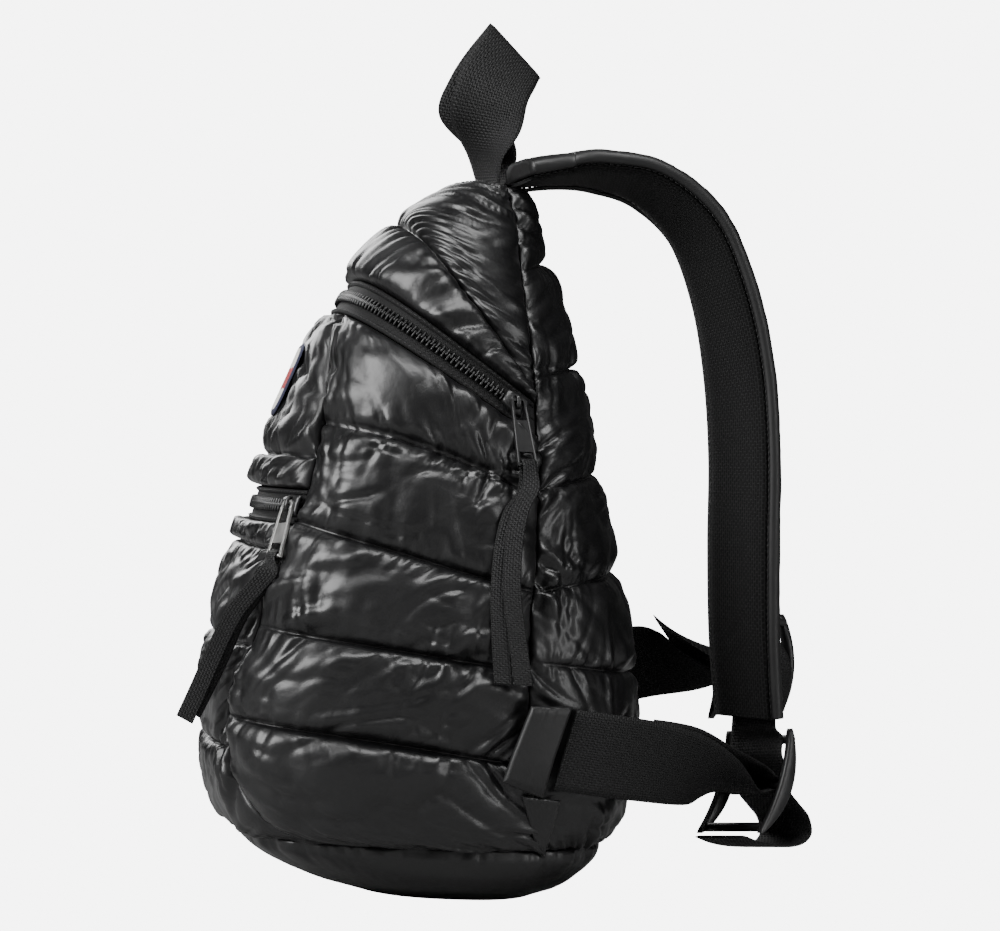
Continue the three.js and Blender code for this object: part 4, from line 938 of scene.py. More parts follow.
def slider_place(opening, round_):
    """Where a slider sits on its chain: its place, the way the chain runs, and up and out."""
    top = PART_GAP + CHAIN_HEIGHT + PART_GAP
    at = lambda share, turn: over_zip(opening, share, np.array([turn]), top)[0]
    run = at(0.5, round_ + 0.02) - at(0.5, round_ - 0.02)
    rise = at(0.6, round_) - at(0.4, round_)
    return at(0.5, round_), unit(run), unit(np.cross(run, rise))


def pull_frame(opening, round_, hang, tip, length):
    """The puller's eye, the way up it, across it and out of it, and its slider's frame."""
    place, run, out = slider_place(opening, round_)
    rise = np.cross(out, run)
    down = np.array(hang, float)
    down = unit(down - out * (down @ out))
    up = -down - out * tip
    across = unit(np.cross(up, out))
    return {
        "eye": place + out * (1.4 + PULLER_THICKNESS / 2 + PART_GAP),
        "up": unit(up), "across": across, "out": unit(np.cross(across, up)),
        "place": place, "run": run, "rise": rise, "slider_out": out,
        "turn": math.atan2(down @ rise, down @ run), "length": length,
    }


MAIN_PULL = pull_frame(MAIN_ZIP, 0.93, (0, 0, -1), 0.16, PULLER_LENGTH)
POCKET_PULL = pull_frame(POCKET_OPENING, 0.94, (0.19, -0.12, -0.974), 0.04, POCKET_PULLER_LENGTH)


def placed(points, origin, x, y, z):
    """Points given along three directions from an origin."""
    points = np.asarray(points, float)
    return origin + points[..., 0:1] * x + points[..., 1:2] * y + points[..., 2:3] * z


def pierced_plate(across, along, keep, low, high):
    """A plate on a grid of corners, some of whose cells are open, between two heights. Walls
    stand wherever a kept cell meets an open one or the edge."""
    rows, columns = across.shape
    count = rows * columns
    along = np.broadcast_to(along[:, None], across.shape)
    points = np.concatenate([
        np.stack([across, along, np.full_like(across, high)], axis=-1).reshape(-1, 3),
        np.stack([across, along, np.full_like(across, low)], axis=-1).reshape(-1, 3),
    ])
    faces = []
    kept = lambda i, j: 0 <= i < rows - 1 and 0 <= j < columns - 1 and keep[i][j]
    for i in range(rows - 1):
        for j in range(columns - 1):
            if not keep[i][j]:
                continue
            a, b = i * columns + j, i * columns + j + 1
            c, d = b + columns, a + columns
            faces += [(a, b, c, d), (count + d, count + c, count + b, count + a)]
            sides = ((b, a, i - 1, j), (c, b, i, j + 1), (d, c, i + 1, j), (a, d, i, j - 1))
            for start, end, *beside in sides:
                if not kept(*beside):
                    faces.append((start, end, count + end, count + start))
    return points, np.array(faces), None


def puller_parts(length):
    """The puller flat in its own frame, hanging along -Y: a pierced plate with two long eyes, and
    a raised rim along both edges."""
    along = np.array([1.6, 0.2, -11, -12, -length + 9, -length + 8, -length + 2, -length])
    half = np.interp(-along, [0, length], [PULLER_TOP / 2, PULLER_FOOT / 2])
    half[0] -= 1.2
    across = np.stack([-half, -half + 1.5, half - 1.5, half], axis=-1)
    keep = [[1, 1, 1], [1, 0, 1], [1, 1, 1], [1, 1, 1], [1, 1, 1], [1, 0, 1], [1, 1, 1]]
    thick = PULLER_THICKNESS / 2
    plate = pierced_plate(across[::-1], along[::-1], keep[::-1], -thick, thick)
    t = np.linspace(0.06, 0.985, 24)
    half = PULLER_TOP / 2 + (PULLER_FOOT - PULLER_TOP) / 2 * t - 0.55
    lines = [(-half, -length * t), (half, -length * t), (np.linspace(-4.9, 4.9, 12), 0.9 - length)]
    rims = []
    for x, y in lines:
        line = np.stack(np.broadcast_arrays(x, y, thick + 0.05), axis=-1)
        rims.append((line, np.broadcast_to(np.array([0.0, 0.0, 1.0]), line.shape)))
    return joined([plate, tubes_along(rims, 0.5, 6)])


def slider_parts(turn):
    """A slider over a chain that runs along X: a lower and an upper plate with turned-down edges,
    and an arched bridge turned the way the puller hangs."""
    x = np.array([-7.2, -6.9, -4, 0, 4, 5.9, 6.2])
    half = np.array([2.9, 3.7, 4.8, 5.5, 5.6, 5.4, 4.7])
    s = np.array([-1, -0.93, -0.6, 0, 0.6, 0.93, 1])
    dome = 1.15 + 0.5 * (1 - s**2)
    y = half[:, None] * s[None]
    drop = np.where(np.abs(s) > 0.97, -0.9, dome)
    ends = np.array([0.35, 1, 1, 1, 1, 1, 0.35])
    z = 0.2 + (drop[None] - 0.2) * ends[:, None]
    top = np.stack([np.broadcast_to(x[:, None], y.shape), y, z], axis=-1)
    bottom = top.copy()
    bottom[..., 2] = np.minimum(top[..., 2] - 0.5, -0.1)
    count = top.shape[0] * top.shape[1]
    # Round the edge of the seven by seven corners
    edge = [np.arange(7), np.arange(13, 49, 7), np.arange(47, 41, -1), np.arange(35, 0, -7)]
    ring = np.concatenate(edge)
    after = np.roll(ring, -1)
    wall = np.stack([ring, after, count + after, count + ring], axis=-1)
    faces = np.concatenate([grid_faces(7, 7, flip=True), grid_faces(7, 7, count), wall])
    plate = (np.concatenate([top.reshape(-1, 3), bottom.reshape(-1, 3)]), faces, None)
    t = np.linspace(-1, 1, 17)
    level = np.zeros_like(t)
    out = 4.0 * np.sign(t) * np.abs(t) ** 0.8
    arch = np.stack([out, level, 0.9 + 3.2 * (1 - np.abs(t) ** 3.2)], axis=-1)
    normal = unit(np.stack([t * 1.2, level, level + 1], axis=-1))
    cosine, sine = math.cos(turn), math.sin(turn)
    turned = np.array([[cosine, sine, 0], [-sine, cosine, 0], [0, 0, 1]])
    bridge = tubes_along([(arch @ turned, normal @ turned)], 1.25, 10, 0.55)
    return joined([plate, bridge])


def buckle_parts():
    """A strap adjuster: two bowed rails, deep in the middle and round at their ends, and three
    cross bars, the middle one ribbed."""
    reach = (WEBBING_WIDTH + 3 + BUCKLE_RAIL) / 2
    s = np.linspace(-1, 1, 41)
    top = BUCKLE_BOW * (1 - s**2)
    low = -2.5 + 4.55 * (1 - s**2)
    middle, tall = (top + low) / 2, np.maximum((top - low) / 2, 0.9)
    tall = tall * np.minimum(1, np.sqrt(np.maximum(0.02, (1 - np.abs(s)) * 14)))
    turn = np.linspace(0, 2 * np.pi, 16, endpoint=False)[None]
    corner = lambda v: np.sign(v) * np.abs(v) ** 0.55
    rings = []
    for side in (-1, 1):
        x = side * reach + corner(np.cos(turn)) * BUCKLE_RAIL / 2
        z = middle[:, None] + tall[:, None] * corner(np.sin(turn))
        rings.append((x, BUCKLE_LENGTH / 2 * s[:, None], z))
    x = np.linspace(-reach, reach, 60)[:, None]
    for share in (-0.42, 0, 0.42):
        grip = 0.18 * np.cos(x * 2 * np.pi / 2.4) if share == 0 else 0 * x
        radius = BUCKLE_BAR / 2 + grip
        y = share * BUCKLE_LENGTH + radius * np.cos(turn)
        z = BAR_MIDDLE * (1 - (2 * share) ** 2) + 0.2 + radius * np.sin(turn)
        rings.append((x, y, z))
    parts = []
    for ring in rings:
        points = np.stack(np.broadcast_arrays(*ring), axis=-1)
        parts.append((points, grid_faces(len(points), 16, flip=True, closed=True), None))
    return joined(parts)


# Materials
def feed(tree, socket, value):
    """Links a socket to another one, or gives it a plain value."""
    if isinstance(value, bpy.types.NodeSocket):
        tree.links.new(value, socket)
    else:
        socket.default_value = value


def shader_node(tree, kind, inner=None, **inputs):
    """A shader node with its inputs fed. Inner is what a group node shows."""
    made = tree.nodes.new("ShaderNode" + kind)
    if inner:
        made.node_tree = inner
    for label, value in inputs.items():
        feed(tree, made.inputs[label.replace("_", " ")], value)
    return made


def maths(tree, operation, *values):
    """A Math node fed by sockets or numbers; returns its output."""
    made = shader_node(tree, "Math")
    made.operation = operation
    for socket, value in zip(made.inputs, values):
        feed(tree, socket, value)
    return made.outputs[0]


def group(name, vector, floats, outputs):
    """An empty shader group with a vector input, float inputs and float outputs."""
    tree = bpy.data.node_groups.new(name, "ShaderNodeTree")
    new_socket = tree.interface.new_socket
    new_socket(vector, in_out="INPUT", socket_type="NodeSocketVector")
    for label in floats:
        new_socket(label, in_out="INPUT", socket_type="NodeSocketFloat")
    for label in outputs:
        new_socket(label, in_out="OUTPUT", socket_type="NodeSocketFloat")
    source, sink = tree.nodes.new("NodeGroupInput"), tree.nodes.new("NodeGroupOutput")
    return tree, source.outputs, sink.inputs


def crinkle_group():
    """Fine crinkles of a coated cloth: two noises, the slow one six times as large."""
    tree, source, sink = group("crinkle", "Vector", ["Scale"], ["Height", "Slow"])
    place, scale = source["Vector"], source["Scale"]
    fine = shader_node(tree, "TexNoise", Vector=place, Scale=scale, Detail=4, Roughness=0.55)
    slow_scale = maths(tree, "MULTIPLY", scale, 0.16)
    slow = shader_node(tree, "TexNoise", Vector=place, Scale=slow_scale, Detail=2)
    feed(tree, sink["Height"], fine.outputs["Fac"])
    feed(tree, sink["Slow"], slow.outputs["Fac"])
    return tree


def weave_group():
    """Plain weave on UV lengths: each thread is |sin| across itself, and a checker says which of
    the two lies on top."""
    tree, source, sink = group("weave", "UV", ["Along", "Across"], ["Height"])
    parts = shader_node(tree, "SeparateXYZ", Vector=source["UV"]).outputs
    along = maths(tree, "MULTIPLY", parts[0], source["Along"])
    across = maths(tree, "MULTIPLY", parts[1], source["Across"])
    parity = maths(tree, "ADD", maths(tree, "FLOOR", along), maths(tree, "FLOOR", across))
    top = maths(tree, "FLOORED_MODULO", parity, 2.0)
    threads = []
    for way, above in ((along, top), (across, maths(tree, "SUBTRACT", 1.0, top))):
        ridge = maths(tree, "ABSOLUTE", maths(tree, "SINE", maths(tree, "MULTIPLY", way, math.pi)))
        level = maths(tree, "ADD", maths(tree, "MULTIPLY", above, 0.6), 0.4)
        threads.append(maths(tree, "MULTIPLY", ridge, level))
    feed(tree, sink["Height"], maths(tree, "MAXIMUM", *threads))
    return tree


CRINKLE = crinkle_group()
WEAVE = weave_group()


def start_material(name, color, roughness, **sockets):
    """A Principled material with plain values; returns it, its tree and its shader."""
    made = bpy.data.materials.new(name)
    made.use_nodes = True
    shader = made.node_tree.nodes["Principled BSDF"]
    shader.inputs["Base Color"].default_value = (*color, 1)
    shader.inputs["Roughness"].default_value = roughness
    for label, value in sockets.items():
        shader.inputs[label.replace("_", " ")].default_value = value
    return made, made.node_tree, shader


def surface_place(tree):
    """The place on a piece's own UV map."""
    made = shader_node(tree, "UVMap")
    made.uv_map = "surface"
    return made.outputs["UV"]


def blend(tree, mask, first, second):
    """Two colours mixed by a mask. The first may be a socket."""
    made = shader_node(tree, "Mix")
    made.data_type = "RGBA"
    colors = [(*c, 1) if isinstance(c, tuple) else c for c in (first, second)]
    for label, value in zip(("Factor", "A", "B"), (mask, *colors)):
        feed(tree, made.inputs[label], value)
    return made.outputs["Result"]


def finish_surface(tree, shader, color, height, strength, distance):
    """Feeds a shader its colour, and a height as its bumps."""
    made = shader_node(tree, "Bump", Strength=strength, Distance=distance, Height=height)
    feed(tree, shader.inputs["Normal"], made.outputs["Normal"])
    feed(tree, shader.inputs["Base Color"], color)


def crinkled_material(name, shade, roughness, spread, crinkle, colors, **sockets):
    """Crinkles on Object coordinates, which also vary the roughness and the colour. Crinkle is
    their scale, strength and distance."""
    made, tree, shader = start_material(name, shade, roughness, **sockets)
    scale, *bumps = crinkle
    low, high = spread
    place = shader_node(tree, "TexCoord").outputs["Object"]
    cloth = shader_node(tree, "Group", CRINKLE, Vector=place, Scale=scale).outputs
    span = shader_node(
        tree, "MapRange", Value=cloth["Slow"], From_Min=0.3, From_Max=0.7, To_Min=low, To_Max=high
    )
    feed(tree, shader.inputs["Roughness"], span.outputs["Result"])
    finish_surface(tree, shader, blend(tree, cloth["Slow"], *colors), cloth["Height"], *bumps)
    return made


def plain_material(name, color, roughness, scale, **sockets):
    """A smooth finish whose colour is up to a quarter lighter in places."""
    lighter = tuple(min(1.0, c * 1.25) for c in color)
    spread = (roughness - 0.05, roughness + 0.07)
    crinkle = (scale, 0.12, 0.0002)
    return crinkled_material(name, color, roughness, spread, crinkle, (color, lighter), **sockets)


def woven_material(name, dark, light, along, across, roughness, distance):
    """Plain weave on the piece's UV lengths, with so many threads per metre both ways. Its colour
    is painted shade and highlight: dark down between the threads and lighter on their crowns.
    """
    made, tree, shader = start_material(name, dark, roughness, Specular_IOR_Level=0.3)
    place = surface_place(tree)
    weave = shader_node(tree, "Group", WEAVE, UV=place, Along=along, Across=across)
    height = weave.outputs["Height"]
    # The weave's height picks the colour: painted shade in the hollows between threads, a painted
    # highlight on their crowns.
    finish_surface(tree, shader, blend(tree, height, dark, light), height, 0.8, distance)
    return made


def mesh_material():
    """Spacer mesh: staggered cells in brick order, their centres sunk and painted darker as shade
    in the hollows.
    """
    sunk_cell_shade, thread = (0.0004, 0.0004, 0.0004), (0.011, 0.011, 0.0113)
    made, tree, shader = start_material("spacer_mesh_black", sunk_cell_shade, 0.8, Specular_IOR_Level=0.25)
    brick = shader_node(
        tree, "TexBrick", Vector=surface_place(tree), Scale=1.0, Mortar_Size=0.00042,
        Mortar_Smooth=0.6, Brick_Width=0.0034, Row_Height=0.0021,
    )
    height = brick.outputs["Fac"]
    # The cells' sunk centres take the dark colour as painted shade, and the threads between them
    # take the lighter one.
    finish_surface(tree, shader, blend(tree, height, sunk_cell_shade, thread), height, 1.0, 0.0009)
    return made


def badge_material():
    """Bands of flat embroidered colour on the badge's own UV, inside a dark border."""
    cream, red, navy = (0.72, 0.70, 0.66), (0.35, 0.02, 0.022), (0.012, 0.014, 0.04)
    made, tree, shader = start_material("badge_cloth", cream, 0.75)
    parts = shader_node(tree, "SeparateXYZ", Vector=surface_place(tree)).outputs
    from_middle = lambda value: maths(tree, "ABSOLUTE", maths(tree, "SUBTRACT", value, 0.5))
    over, up = from_middle(parts[0]), from_middle(parts[1])
    field = blend(tree, maths(tree, "LESS_THAN", up, 0.15), cream, red)
    border = maths(tree, "GREATER_THAN", maths(tree, "MAXIMUM", over, up), 0.43)
    wave = maths(tree, "SINE", maths(tree, "MULTIPLY", parts[0], 170.0))
    thread = maths(tree, "ABSOLUTE", wave)
    finish_surface(tree, shader, blend(tree, border, field, navy), thread, 0.5, 0.0003)
    return made


NYLON = crinkled_material(
    "glossy_nylon", (0.004, 0.004, 0.0043), 0.38, (0.34, 0.44), (150, 0.4, 0.0007),
    ((0.003, 0.003, 0.0032), (0.006, 0.006, 0.0064)), Coat_Weight=0.12, Coat_Roughness=0.24,
)
SATIN = crinkled_material(
    "satin_nylon", (0.004, 0.004, 0.0042), 0.5, (0.44, 0.56), (220, 0.3, 0.0004),
    ((0.003, 0.003, 0.0032), (0.006, 0.006, 0.0063)),
)
# The two colours of each woven finish are its painted shade between threads and its painted lighter
# thread crowns.
WEBBING = woven_material(
    "webbing_black", (0.0008, 0.0008, 0.0008), (0.009, 0.009, 0.0093), 620.0, 760.0, 0.62, 0.0006,
)
TAPE_CLOTH = woven_material(
    "zip_tape_cloth", (0.003, 0.003, 0.0031), (0.010, 0.010, 0.0103), 900.0, 1300.0, 0.72, 0.0003,
)
RIBBON = woven_material(
    "ribbed_ribbon", (0.001, 0.001, 0.001), (0.009, 0.009, 0.0093), 900.0, 700.0, 0.6, 0.0005,
)
MESH = mesh_material()
TEETH = plain_material("tooth_plastic", (0.005, 0.005, 0.0052), 0.36, 900)
BLACK_METAL = plain_material("matt_black_metal", (0.006, 0.006, 0.0063), 0.40, 900, Coat_Weight=0.2)
GREY_METAL = plain_material("satin_grey_metal", (0.42, 0.42, 0.41), 0.34, 700, Metallic=0.85)
BUCKLE = plain_material("buckle_plastic", (0.006, 0.006, 0.0063), 0.40, 500)
THREAD = plain_material("black_thread", (0.008, 0.008, 0.0083), 0.5, 1500)
BADGE = badge_material()


# Body
SIDE_CHANNELS = [flat_line(BASE_EDGE), *SIDE_LINES, ZIP_LOW]
PANELS = [
    ("quilt_side_right", "side_panel_right", front_seam, back_seam, SIDE_CHANNELS,
     SIDE_PUFF, 101, ()),
    ("quilt_side_left", "side_panel_left", front_seam, back_seam, SIDE_CHANNELS,
     SIDE_PUFF, 171, ()),
    ("quilt_back", "back_panel", back_seam, lambda z: 2 * np.pi - back_seam(z),
     [flat_line(BASE_EDGE), *BACK_LINES, flat_line(BODY_HEIGHT)], BACK_PUFF, 211, ()),
    ("quilt_cap", "cap_panel", lambda z: -back_seam(z), back_seam,
     [ZIP_HIGH, CAP_LINE, flat_line(BODY_HEIGHT)], CAP_PUFF, 331, ()),
    ("quilt_upper_front", "upper_front_panel", lambda z: -front_seam(z), front_seam,
     [flat_line(POCKET_ZIP + ZIP_OPENING), *UPPER_FRONT_LINES, ZIP_LOW],
     FRONT_PUFF, 431, FRONT_COLUMNS),
    ("quilt_pocket", "front_pocket", lambda z: -front_seam(z), front_seam,
     [flat_line(BASE_EDGE), *POCKET_LINES, flat_line(POCKET_ZIP)], FRONT_PUFF, 541, ()),
]
for name, node, left, right, lines, puff, seed, columns in PANELS:
    outer, inner = quilted_panel(left, right, lines, puff, seed, columns)
    if name == "quilt_side_left":
        outer, inner = mirrored(outer), mirrored(inner)
    piece(name, shell(name, outer, inner), NYLON, "quilted_nylon", [node], 0.8)
piece("quilt_base", base_tray(), NYLON, "quilted_nylon", ["base"], 0.7)
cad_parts["top_binding"].data.materials.clear()
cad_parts["top_binding"].data.materials.append(SATIN)


# Zips
def zip_lip(opening, share, lean, reach, cells):
    """A folded edge of cloth beside a zip: a low half round that follows the opening."""
    s = np.linspace(0, 1, 7)
    rise = 1.3 * np.sqrt(np.maximum(0, 1 - (2 * s - 1) ** 2)) + 0.1
    shares = share + lean * s
    return zip_band(opening, shares, rise, reach, cells)


FINE_ROUND = np.linspace(-0.985, 0.985, 500)
for label, opening, cells in (("main_zip", MAIN_ZIP, 420), ("pocket_zip", POCKET_OPENING, 200)):
    for half, first, last in (("lower", 0.05, 0.49), ("upper", 0.51, 0.95)):
        outer, inner = zip_band(opening, np.linspace(first, last, 7), np.zeros(7), 1.0, cells)
        name = f"{label}_tape_cloth_{half}"
        piece(name, shell(name, outer, inner), TAPE_CLOTH, "zip_tape", [f"{label}_tape_{half}"])
    for half, share, line_share in (("lower", 0.0, 0.09), ("upper", 0.85, 0.06)):
        outer, inner = zip_lip(opening, share, 0.15, 0.995, cells)
        name = f"{label}_lip_{half}"
        piece(name, shell(name, outer, inner), TAPE_CLOTH, "zip_tape")
        line = over_zip(opening, share + line_share, FINE_ROUND, 1.5)
        out = line - over_zip(opening, share + 0.075, FINE_ROUND, 0.0)
        name = f"{label}_lip_stitches_{half}"
        piece(name, mesh_of(name, *joined([stitches(line, unit(out))])), THREAD, "zip_tape")
    name = f"{label}_teeth"
    piece(name, zip_chain(name, opening, 0.985), TEETH, "zip_teeth", [f"{label}_chain"])

for label, pull, finish, slot in (
    ("main_zip", MAIN_PULL, BLACK_METAL, "dark_metal"),
    ("pocket_zip", POCKET_PULL, GREY_METAL, "puller_metal"),
):
    points, faces, uv = slider_parts(pull["turn"])
    points = placed(points, pull["place"], pull["run"], pull["rise"], pull["slider_out"])
    name = f"{label}_slider_body"
    mesh = mesh_of(name, points, faces, uv)
    piece(name, mesh, BLACK_METAL, "dark_metal", [f"{label}_slider"])
    points, faces, uv = puller_parts(pull["length"])
    points = placed(points, pull["eye"], pull["across"], pull["up"], pull["out"])
    name = f"{label}_puller_plate"
    plate = piece(name, mesh_of(name, points, faces, uv), finish, slot, [f"{label}_puller"])
    edges = plate.modifiers.new("edges", "BEVEL")
    edges.width = 0.00025
    edges.segments = 2
    edges.limit_method = "ANGLE"
    edges.angle_limit = math.radians(40)
    flat = np.zeros(len(plate.data.polygons), dtype=bool)
    plate.data.polygons.foreach_set("use_smooth", flat)


# The fold of a ribbon round a puller's foot: places out and up, as shares of the fold's radius
RIBBON_FOLD = [(1, -1.35), (1, 0), (0.7, 0.85), (0, 1.25), (-0.7, 0.85), (-1, 0), (-1, -1.35)]


def puller_foot(pull):
    """The middle of a puller's lower eye's far edge."""
    return pull["eye"] + pull["up"] * (1 - pull["length"])


def ribbon_rows(pull, front, back):
    """A ribbon's rows: up its front tail, round the puller's foot and down its back tail."""
    radius = PULLER_THICKNESS / 2 + RIBBON_THICKNESS / 2 + PART_GAP * 3
    along = unit(np.array(front[-1][1:]) - np.array(front[0][1:]))
    lean = (0.1, -along[1], along[0])
    at = lambda out, up: puller_foot(pull) + (pull["out"] * out + pull["up"] * up) * radius
    turn = [(*at(out, up), *pull["across"], RIBBON_WIDTH * 0.84) for out, up in RIBBON_FOLD]
    tail = lambda points: [(*point, *lean, RIBBON_WIDTH) for point in points]
    return [*tail(front[::-1]), *turn, *tail(back)]


pocket_foot = puller_foot(POCKET_PULL)
for label, pull, front, back in (
    ("main_zip", MAIN_PULL, over_side(MAIN_RIBBON_FRONT), over_side(MAIN_RIBBON_BACK)),
    ("pocket_zip", POCKET_PULL, POCKET_RIBBON_FRONT * BODY_SIZE + pocket_foot,
     POCKET_RIBBON_BACK * BODY_SIZE + pocket_foot),
):
    swept_piece(
        f"{label}_ribbon_cloth", ribbon_rows(pull, front, back), 12,
        band_section(RIBBON_THICKNESS, 18), RIBBON, "ribbon", [f"{label}_ribbon"],
    )


# Straps
def pad_section(width, t):
    """The cover of a shoulder pad: a full, rounded section with its flat side towards the bag and
    a rolled hem along both edges, a little uneven along its length."""
    half = width[:, None] / 2
    turn = np.linspace(0, np.pi, 22)
    over = np.cos(turn)[None] * (1 + 0 * half)
    a_top = np.sign(over) * np.abs(over) ** 0.8 * half
    t = t[:, None]
    uneven = 0.35 * noise(t * 2.6, over * 2, 71) + 0.25 * creases(t * 7, over * 3, 72)
    body = np.abs(np.sin(turn)[None]) ** 0.45
    b_top = -PAD_THICKNESS * body + uneven * body
    s = np.linspace(-1, 1, 16)[1:-1][None]
    a_low = s * (half - 0.6)
    b_low = 0.35 * np.clip((np.abs(s) - 0.8) * 5, 0, 1) + 0 * a_low
    return np.concatenate([a_top, a_low], axis=1), np.concatenate([b_top, b_low], axis=1)


def lining_section(width, t):
    """The spacer mesh on a pad's inner side: a thin crowned layer."""
    half = width[:, None] / 2 - 4.5
    s = np.linspace(-1, 1, 20)[None]
    crown = LINING_THICKNESS * (1 - np.abs(s) ** 8)
    a = np.concatenate([s * half, s[:, ::-1] * half], axis=1)
    b = LINING_GAP + np.concatenate([0 * s, crown[:, ::-1]], axis=1)
    return a, np.broadcast_to(b, a.shape)


for side, pad, strap, lower, buckle in (
    ("right", PAD_RIGHT, STRAP_RIGHT, LOWER_RIGHT, BUCKLE_RIGHT),
    ("left", PAD_LEFT, STRAP_LEFT, LOWER_LEFT, BUCKLE_LEFT),
):
    rows = pad_rows(pad)
    points, uv, ways = sweep(rows, 26, pad_section, True)
    name = f"pad_cover_{side}"
    mesh = closed_sweep(name, points[:, ::-1], uv[:, ::-1])
    piece(name, mesh, SATIN, "quilted_nylon", [f"strap_pad_{side}"], 0.6)
    points, uv, _ = sweep(rows, 26, lining_section, True)
    name = f"pad_mesh_{side}"
    mesh = closed_sweep(name, points, uv)
    piece(name, mesh, MESH, "spacer_mesh", [f"strap_lining_{side}"], 0.4)
    threads = []
    for edge in (-1, 1):
        from_middle = ways["across"] * (edge * (ways["width"] / 2 - 3.2))[:, None]
        line = ways["centre"] + from_middle + ways["off"] * 0.75
        threads.append(stitches(line, ways["off"]))
    name = f"pad_stitches_{side}"
    piece(name, mesh_of(name, *joined(threads)), THREAD, "quilted_nylon")
    for label, part, node in (("strap", strap, "strap_webbing"), ("lower", lower, "lower_webbing")):
        swept_piece(
            f"{label}_webbing_cloth_{side}", part, 14, band_section(WEBBING_THICKNESS),
            WEBBING, "webbing", [f"{node}_{side}"],
        )
    points, faces, uv = buckle_parts()
    points = placed(points, buckle["centre"], buckle["x"], buckle["y"], buckle["z"])
    name = f"strap_adjuster_{side}"
    piece(name, mesh_of(name, points, faces, uv), BUCKLE, "buckle_plastic", [f"buckle_{side}"])

handle = shares_to_mm(HANDLE)
handle[:, 6] *= HANDLE_WIDTH
section = band_section(WEBBING_THICKNESS)
swept_piece("grab_handle", handle, 16, section, WEBBING, "webbing", ["top_handle"])

# Side tabs
for side in ("right", "left"):
    for label, node, table, thickness, finish in (
        ("strip", "side_tab", TAB_STRIP, 3.4, SATIN), ("wing", "tab_wing", TAB_WING, 1.6, NYLON),
    ):
        rows, columns = 44, 50
        places = finer(table, rows, columns)
        s, t = np.meshgrid(np.linspace(0, 1, columns), np.linspace(0, 1, rows))
        edge = np.minimum.reduce([s, 1 - s, t, 1 - t])
        plump = np.sqrt(np.clip(edge / 0.12, 0, 1))
        puckers = 0.45 * creases(s * 9, t * 2, 83) * np.exp(-np.minimum(t, 1 - t) * 9) * plump
        outer = over_side(places, thickness * (0.45 + 0.55 * plump) + puckers)
        inner = over_side(places)
        if side == "left":
            outer, inner = mirrored(outer), mirrored(inner)
        name = f"tab_{label}_{side}"
        piece(name, shell(name, outer, inner), finish, "quilted_nylon", [f"{node}_{side}"])

# Badge
over, up = np.meshgrid(np.linspace(-1, 1, 40), np.linspace(-1, 1, 44))
farther = np.maximum(np.abs(over), np.abs(up))
bulge = farther / (np.abs(over) ** 5 + np.abs(up) ** 5 + 1e-9) ** 0.2
z = BADGE_LEVEL + up * bulge * BADGE_HEIGHT / 2
angle = angle_across(z, over * bulge * BADGE_WIDTH / 2)
rim = np.sqrt(np.clip((1 - farther) / 0.12, 0.05, 1))
lift = FRONT_PUFF + PART_GAP
normal = body_normal(angle, z)
outer = body_point(angle, z) + normal * (lift + 1.3 * rim)[..., None]
inner = body_point(angle, z) + normal * lift
uv = np.stack([over / 2 + 0.5, up / 2 + 0.5], axis=-1).reshape(-1, 2)
piece("front_patch", shell("front_patch", outer, inner, uv), BADGE, "badge_cloth", ["front_badge"])


# Floor, lights and camera
# The brightness of floor and background as the camera sees them, which the studio's lights don't
# change: the pale grey of the photograph
PALE = 6.5

WORLD_GLOW = 0.07

CAMERA_AZIMUTH, CAMERA_ROLL, CAMERA_DISTANCE, CAMERA_LENS = 82.0, 3.0, 1.8, 117.8
CAMERA_TARGET = np.array([0.00216, 0.01538, 0.2291])

# Name, place, size and watts
LIGHT_TARGET = (0, 0.03, 0.22)
LIGHTS = [
    ("key", (0.9, -1.7, 1.3), (1.1, 1.5), 78),
    ("fill", (2.6, 1.1, 0.7), (1.6, 1.6), 4),
    ("top", (0.7, 0.1, 1.9), (1.0, 0.6), 24),
    ("rear", (1.3, 1.5, 0.7), (0.35, 1.4), 12),
    ("far_side", (-2.0, -0.7, 1.2), (0.9, 1.3), 26),
]


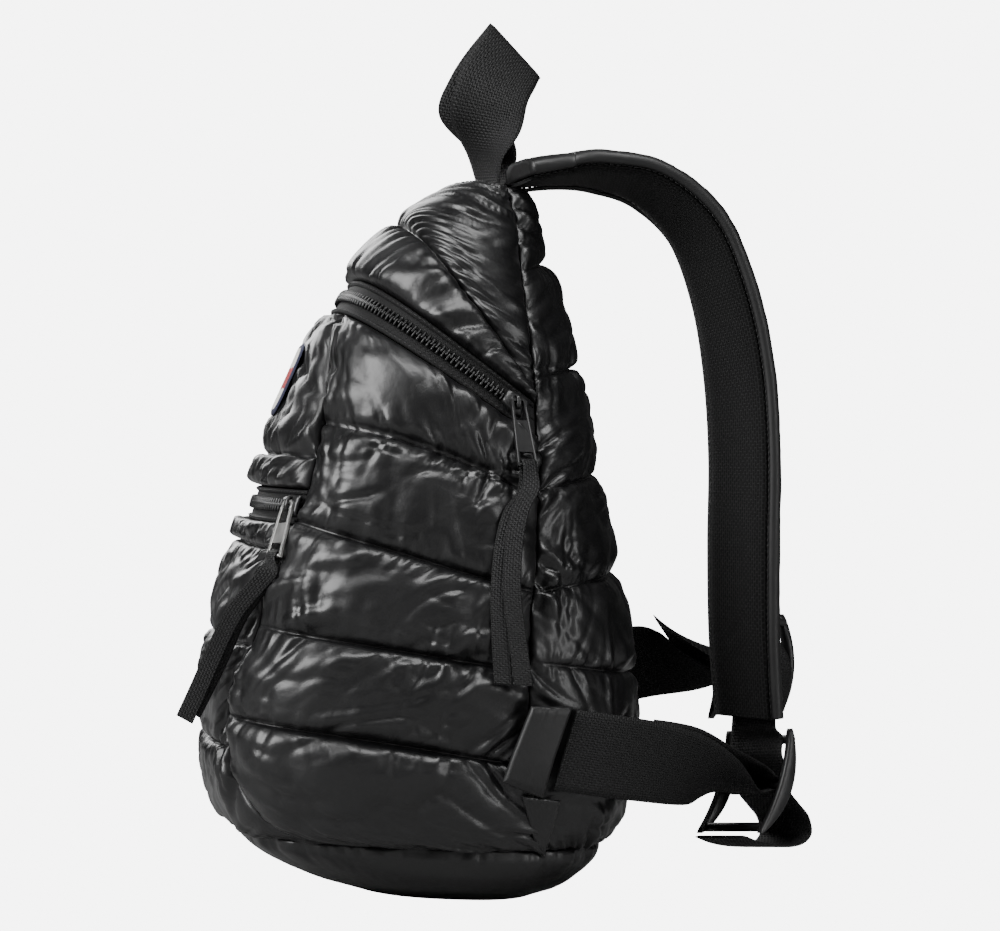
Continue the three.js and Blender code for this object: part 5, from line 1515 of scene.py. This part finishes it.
def stage_floor():
    """A pale sweep: a flat floor that curves up into a backdrop far behind the bag."""
    run = np.array([-6000, -2500, 0, 2500, 4200, 5200, 5800, 6000, 6000.0])
    rise = np.array([0, 0, 0, 0, 0, 200, 800, 1700, 6000.0])
    wide = np.linspace(-9000, 9000, 3)
    azimuth = math.radians(CAMERA_AZIMUTH)
    back = np.array([math.sin(azimuth), -math.cos(azimuth)])
    x = -back[0] * run[:, None] - back[1] * wide[None]
    y = -back[1] * run[:, None] + back[0] * wide[None]
    points = np.stack(np.broadcast_arrays(x, y, rise[:, None]), axis=-1)
    mesh = mesh_of("studio_sweep", points, grid_faces(len(run), 3))
    sweep_sheet = bpy.data.objects.new("studio_sweep", mesh)
    bpy.context.scene.collection.objects.link(sweep_sheet)
    pale, tree, shader = start_material("pale_floor", (0.30, 0.30, 0.30), 0.9)
    glow = shader_node(tree, "Emission", Strength=PALE)
    mix = shader_node(tree, "MixShader")
    to_camera = shader_node(tree, "LightPath").outputs["Is Camera Ray"]
    for socket, source in zip(mix.inputs, (to_camera, shader.outputs[0], glow.outputs[0])):
        feed(tree, socket, source)
    feed(tree, tree.nodes["Material Output"].inputs["Surface"], mix.outputs[0])
    mesh.materials.append(pale)
    sweep_sheet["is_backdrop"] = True


def area_light(name, place, size, energy):
    """A soft rectangle of light that points at the bag."""
    lamp = bpy.data.lights.new(name, "AREA")
    lamp.shape = "RECTANGLE"
    lamp.size, lamp.size_y = size
    lamp.energy = energy
    holder = bpy.data.objects.new(name, lamp)
    bpy.context.scene.collection.objects.link(holder)
    holder.location = place
    aim = Vector(np.array(LIGHT_TARGET) - np.array(place))
    holder.rotation_euler = aim.to_track_quat("-Z", "Y").to_euler()


def studio():
    """A dim, even world that the camera sees as pale as the floor, and five soft lights."""
    world = bpy.data.worlds.new("studio")
    bpy.context.scene.world = world
    world.use_nodes = True
    tree, background = world.node_tree, world.node_tree.nodes["Background"]
    background.inputs["Color"].default_value = (1, 1, 1, 1)
    to_camera = shader_node(tree, "LightPath").outputs["Is Camera Ray"]
    strength = shader_node(tree, "MapRange", Value=to_camera, To_Min=WORLD_GLOW, To_Max=PALE)
    feed(tree, background.inputs["Strength"], strength.outputs["Result"])
    for light in LIGHTS:
        area_light(*light)


def photo_camera():
    """Looks level at the bag's side, rolled so that the bag leans to its back."""
    azimuth, roll = math.radians(CAMERA_AZIMUTH), math.radians(CAMERA_ROLL)
    back = np.array([math.sin(azimuth), -math.cos(azimuth), 0.0])
    right0 = np.array([math.cos(azimuth), math.sin(azimuth), 0.0])
    up0 = np.array([0.0, 0.0, 1.0])
    right = right0 * math.cos(roll) + up0 * math.sin(roll)
    up = up0 * math.cos(roll) - right0 * math.sin(roll)
    data = bpy.data.cameras.new("photo_camera")
    data.lens = CAMERA_LENS
    data.sensor_width = 36
    data.sensor_fit = "HORIZONTAL"
    data.clip_end = 50
    camera = bpy.data.objects.new("photo_camera", data)
    bpy.context.scene.collection.objects.link(camera)
    place = CAMERA_TARGET + back * CAMERA_DISTANCE
    turn = Matrix([[right[k], up[k], back[k], place[k]] for k in range(3)] + [[0, 0, 0, 1]])
    camera.matrix_world = turn
    bpy.context.scene.camera = camera


stage_floor()
studio()
photo_camera()

visual_box = [list(corner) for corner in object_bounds()]
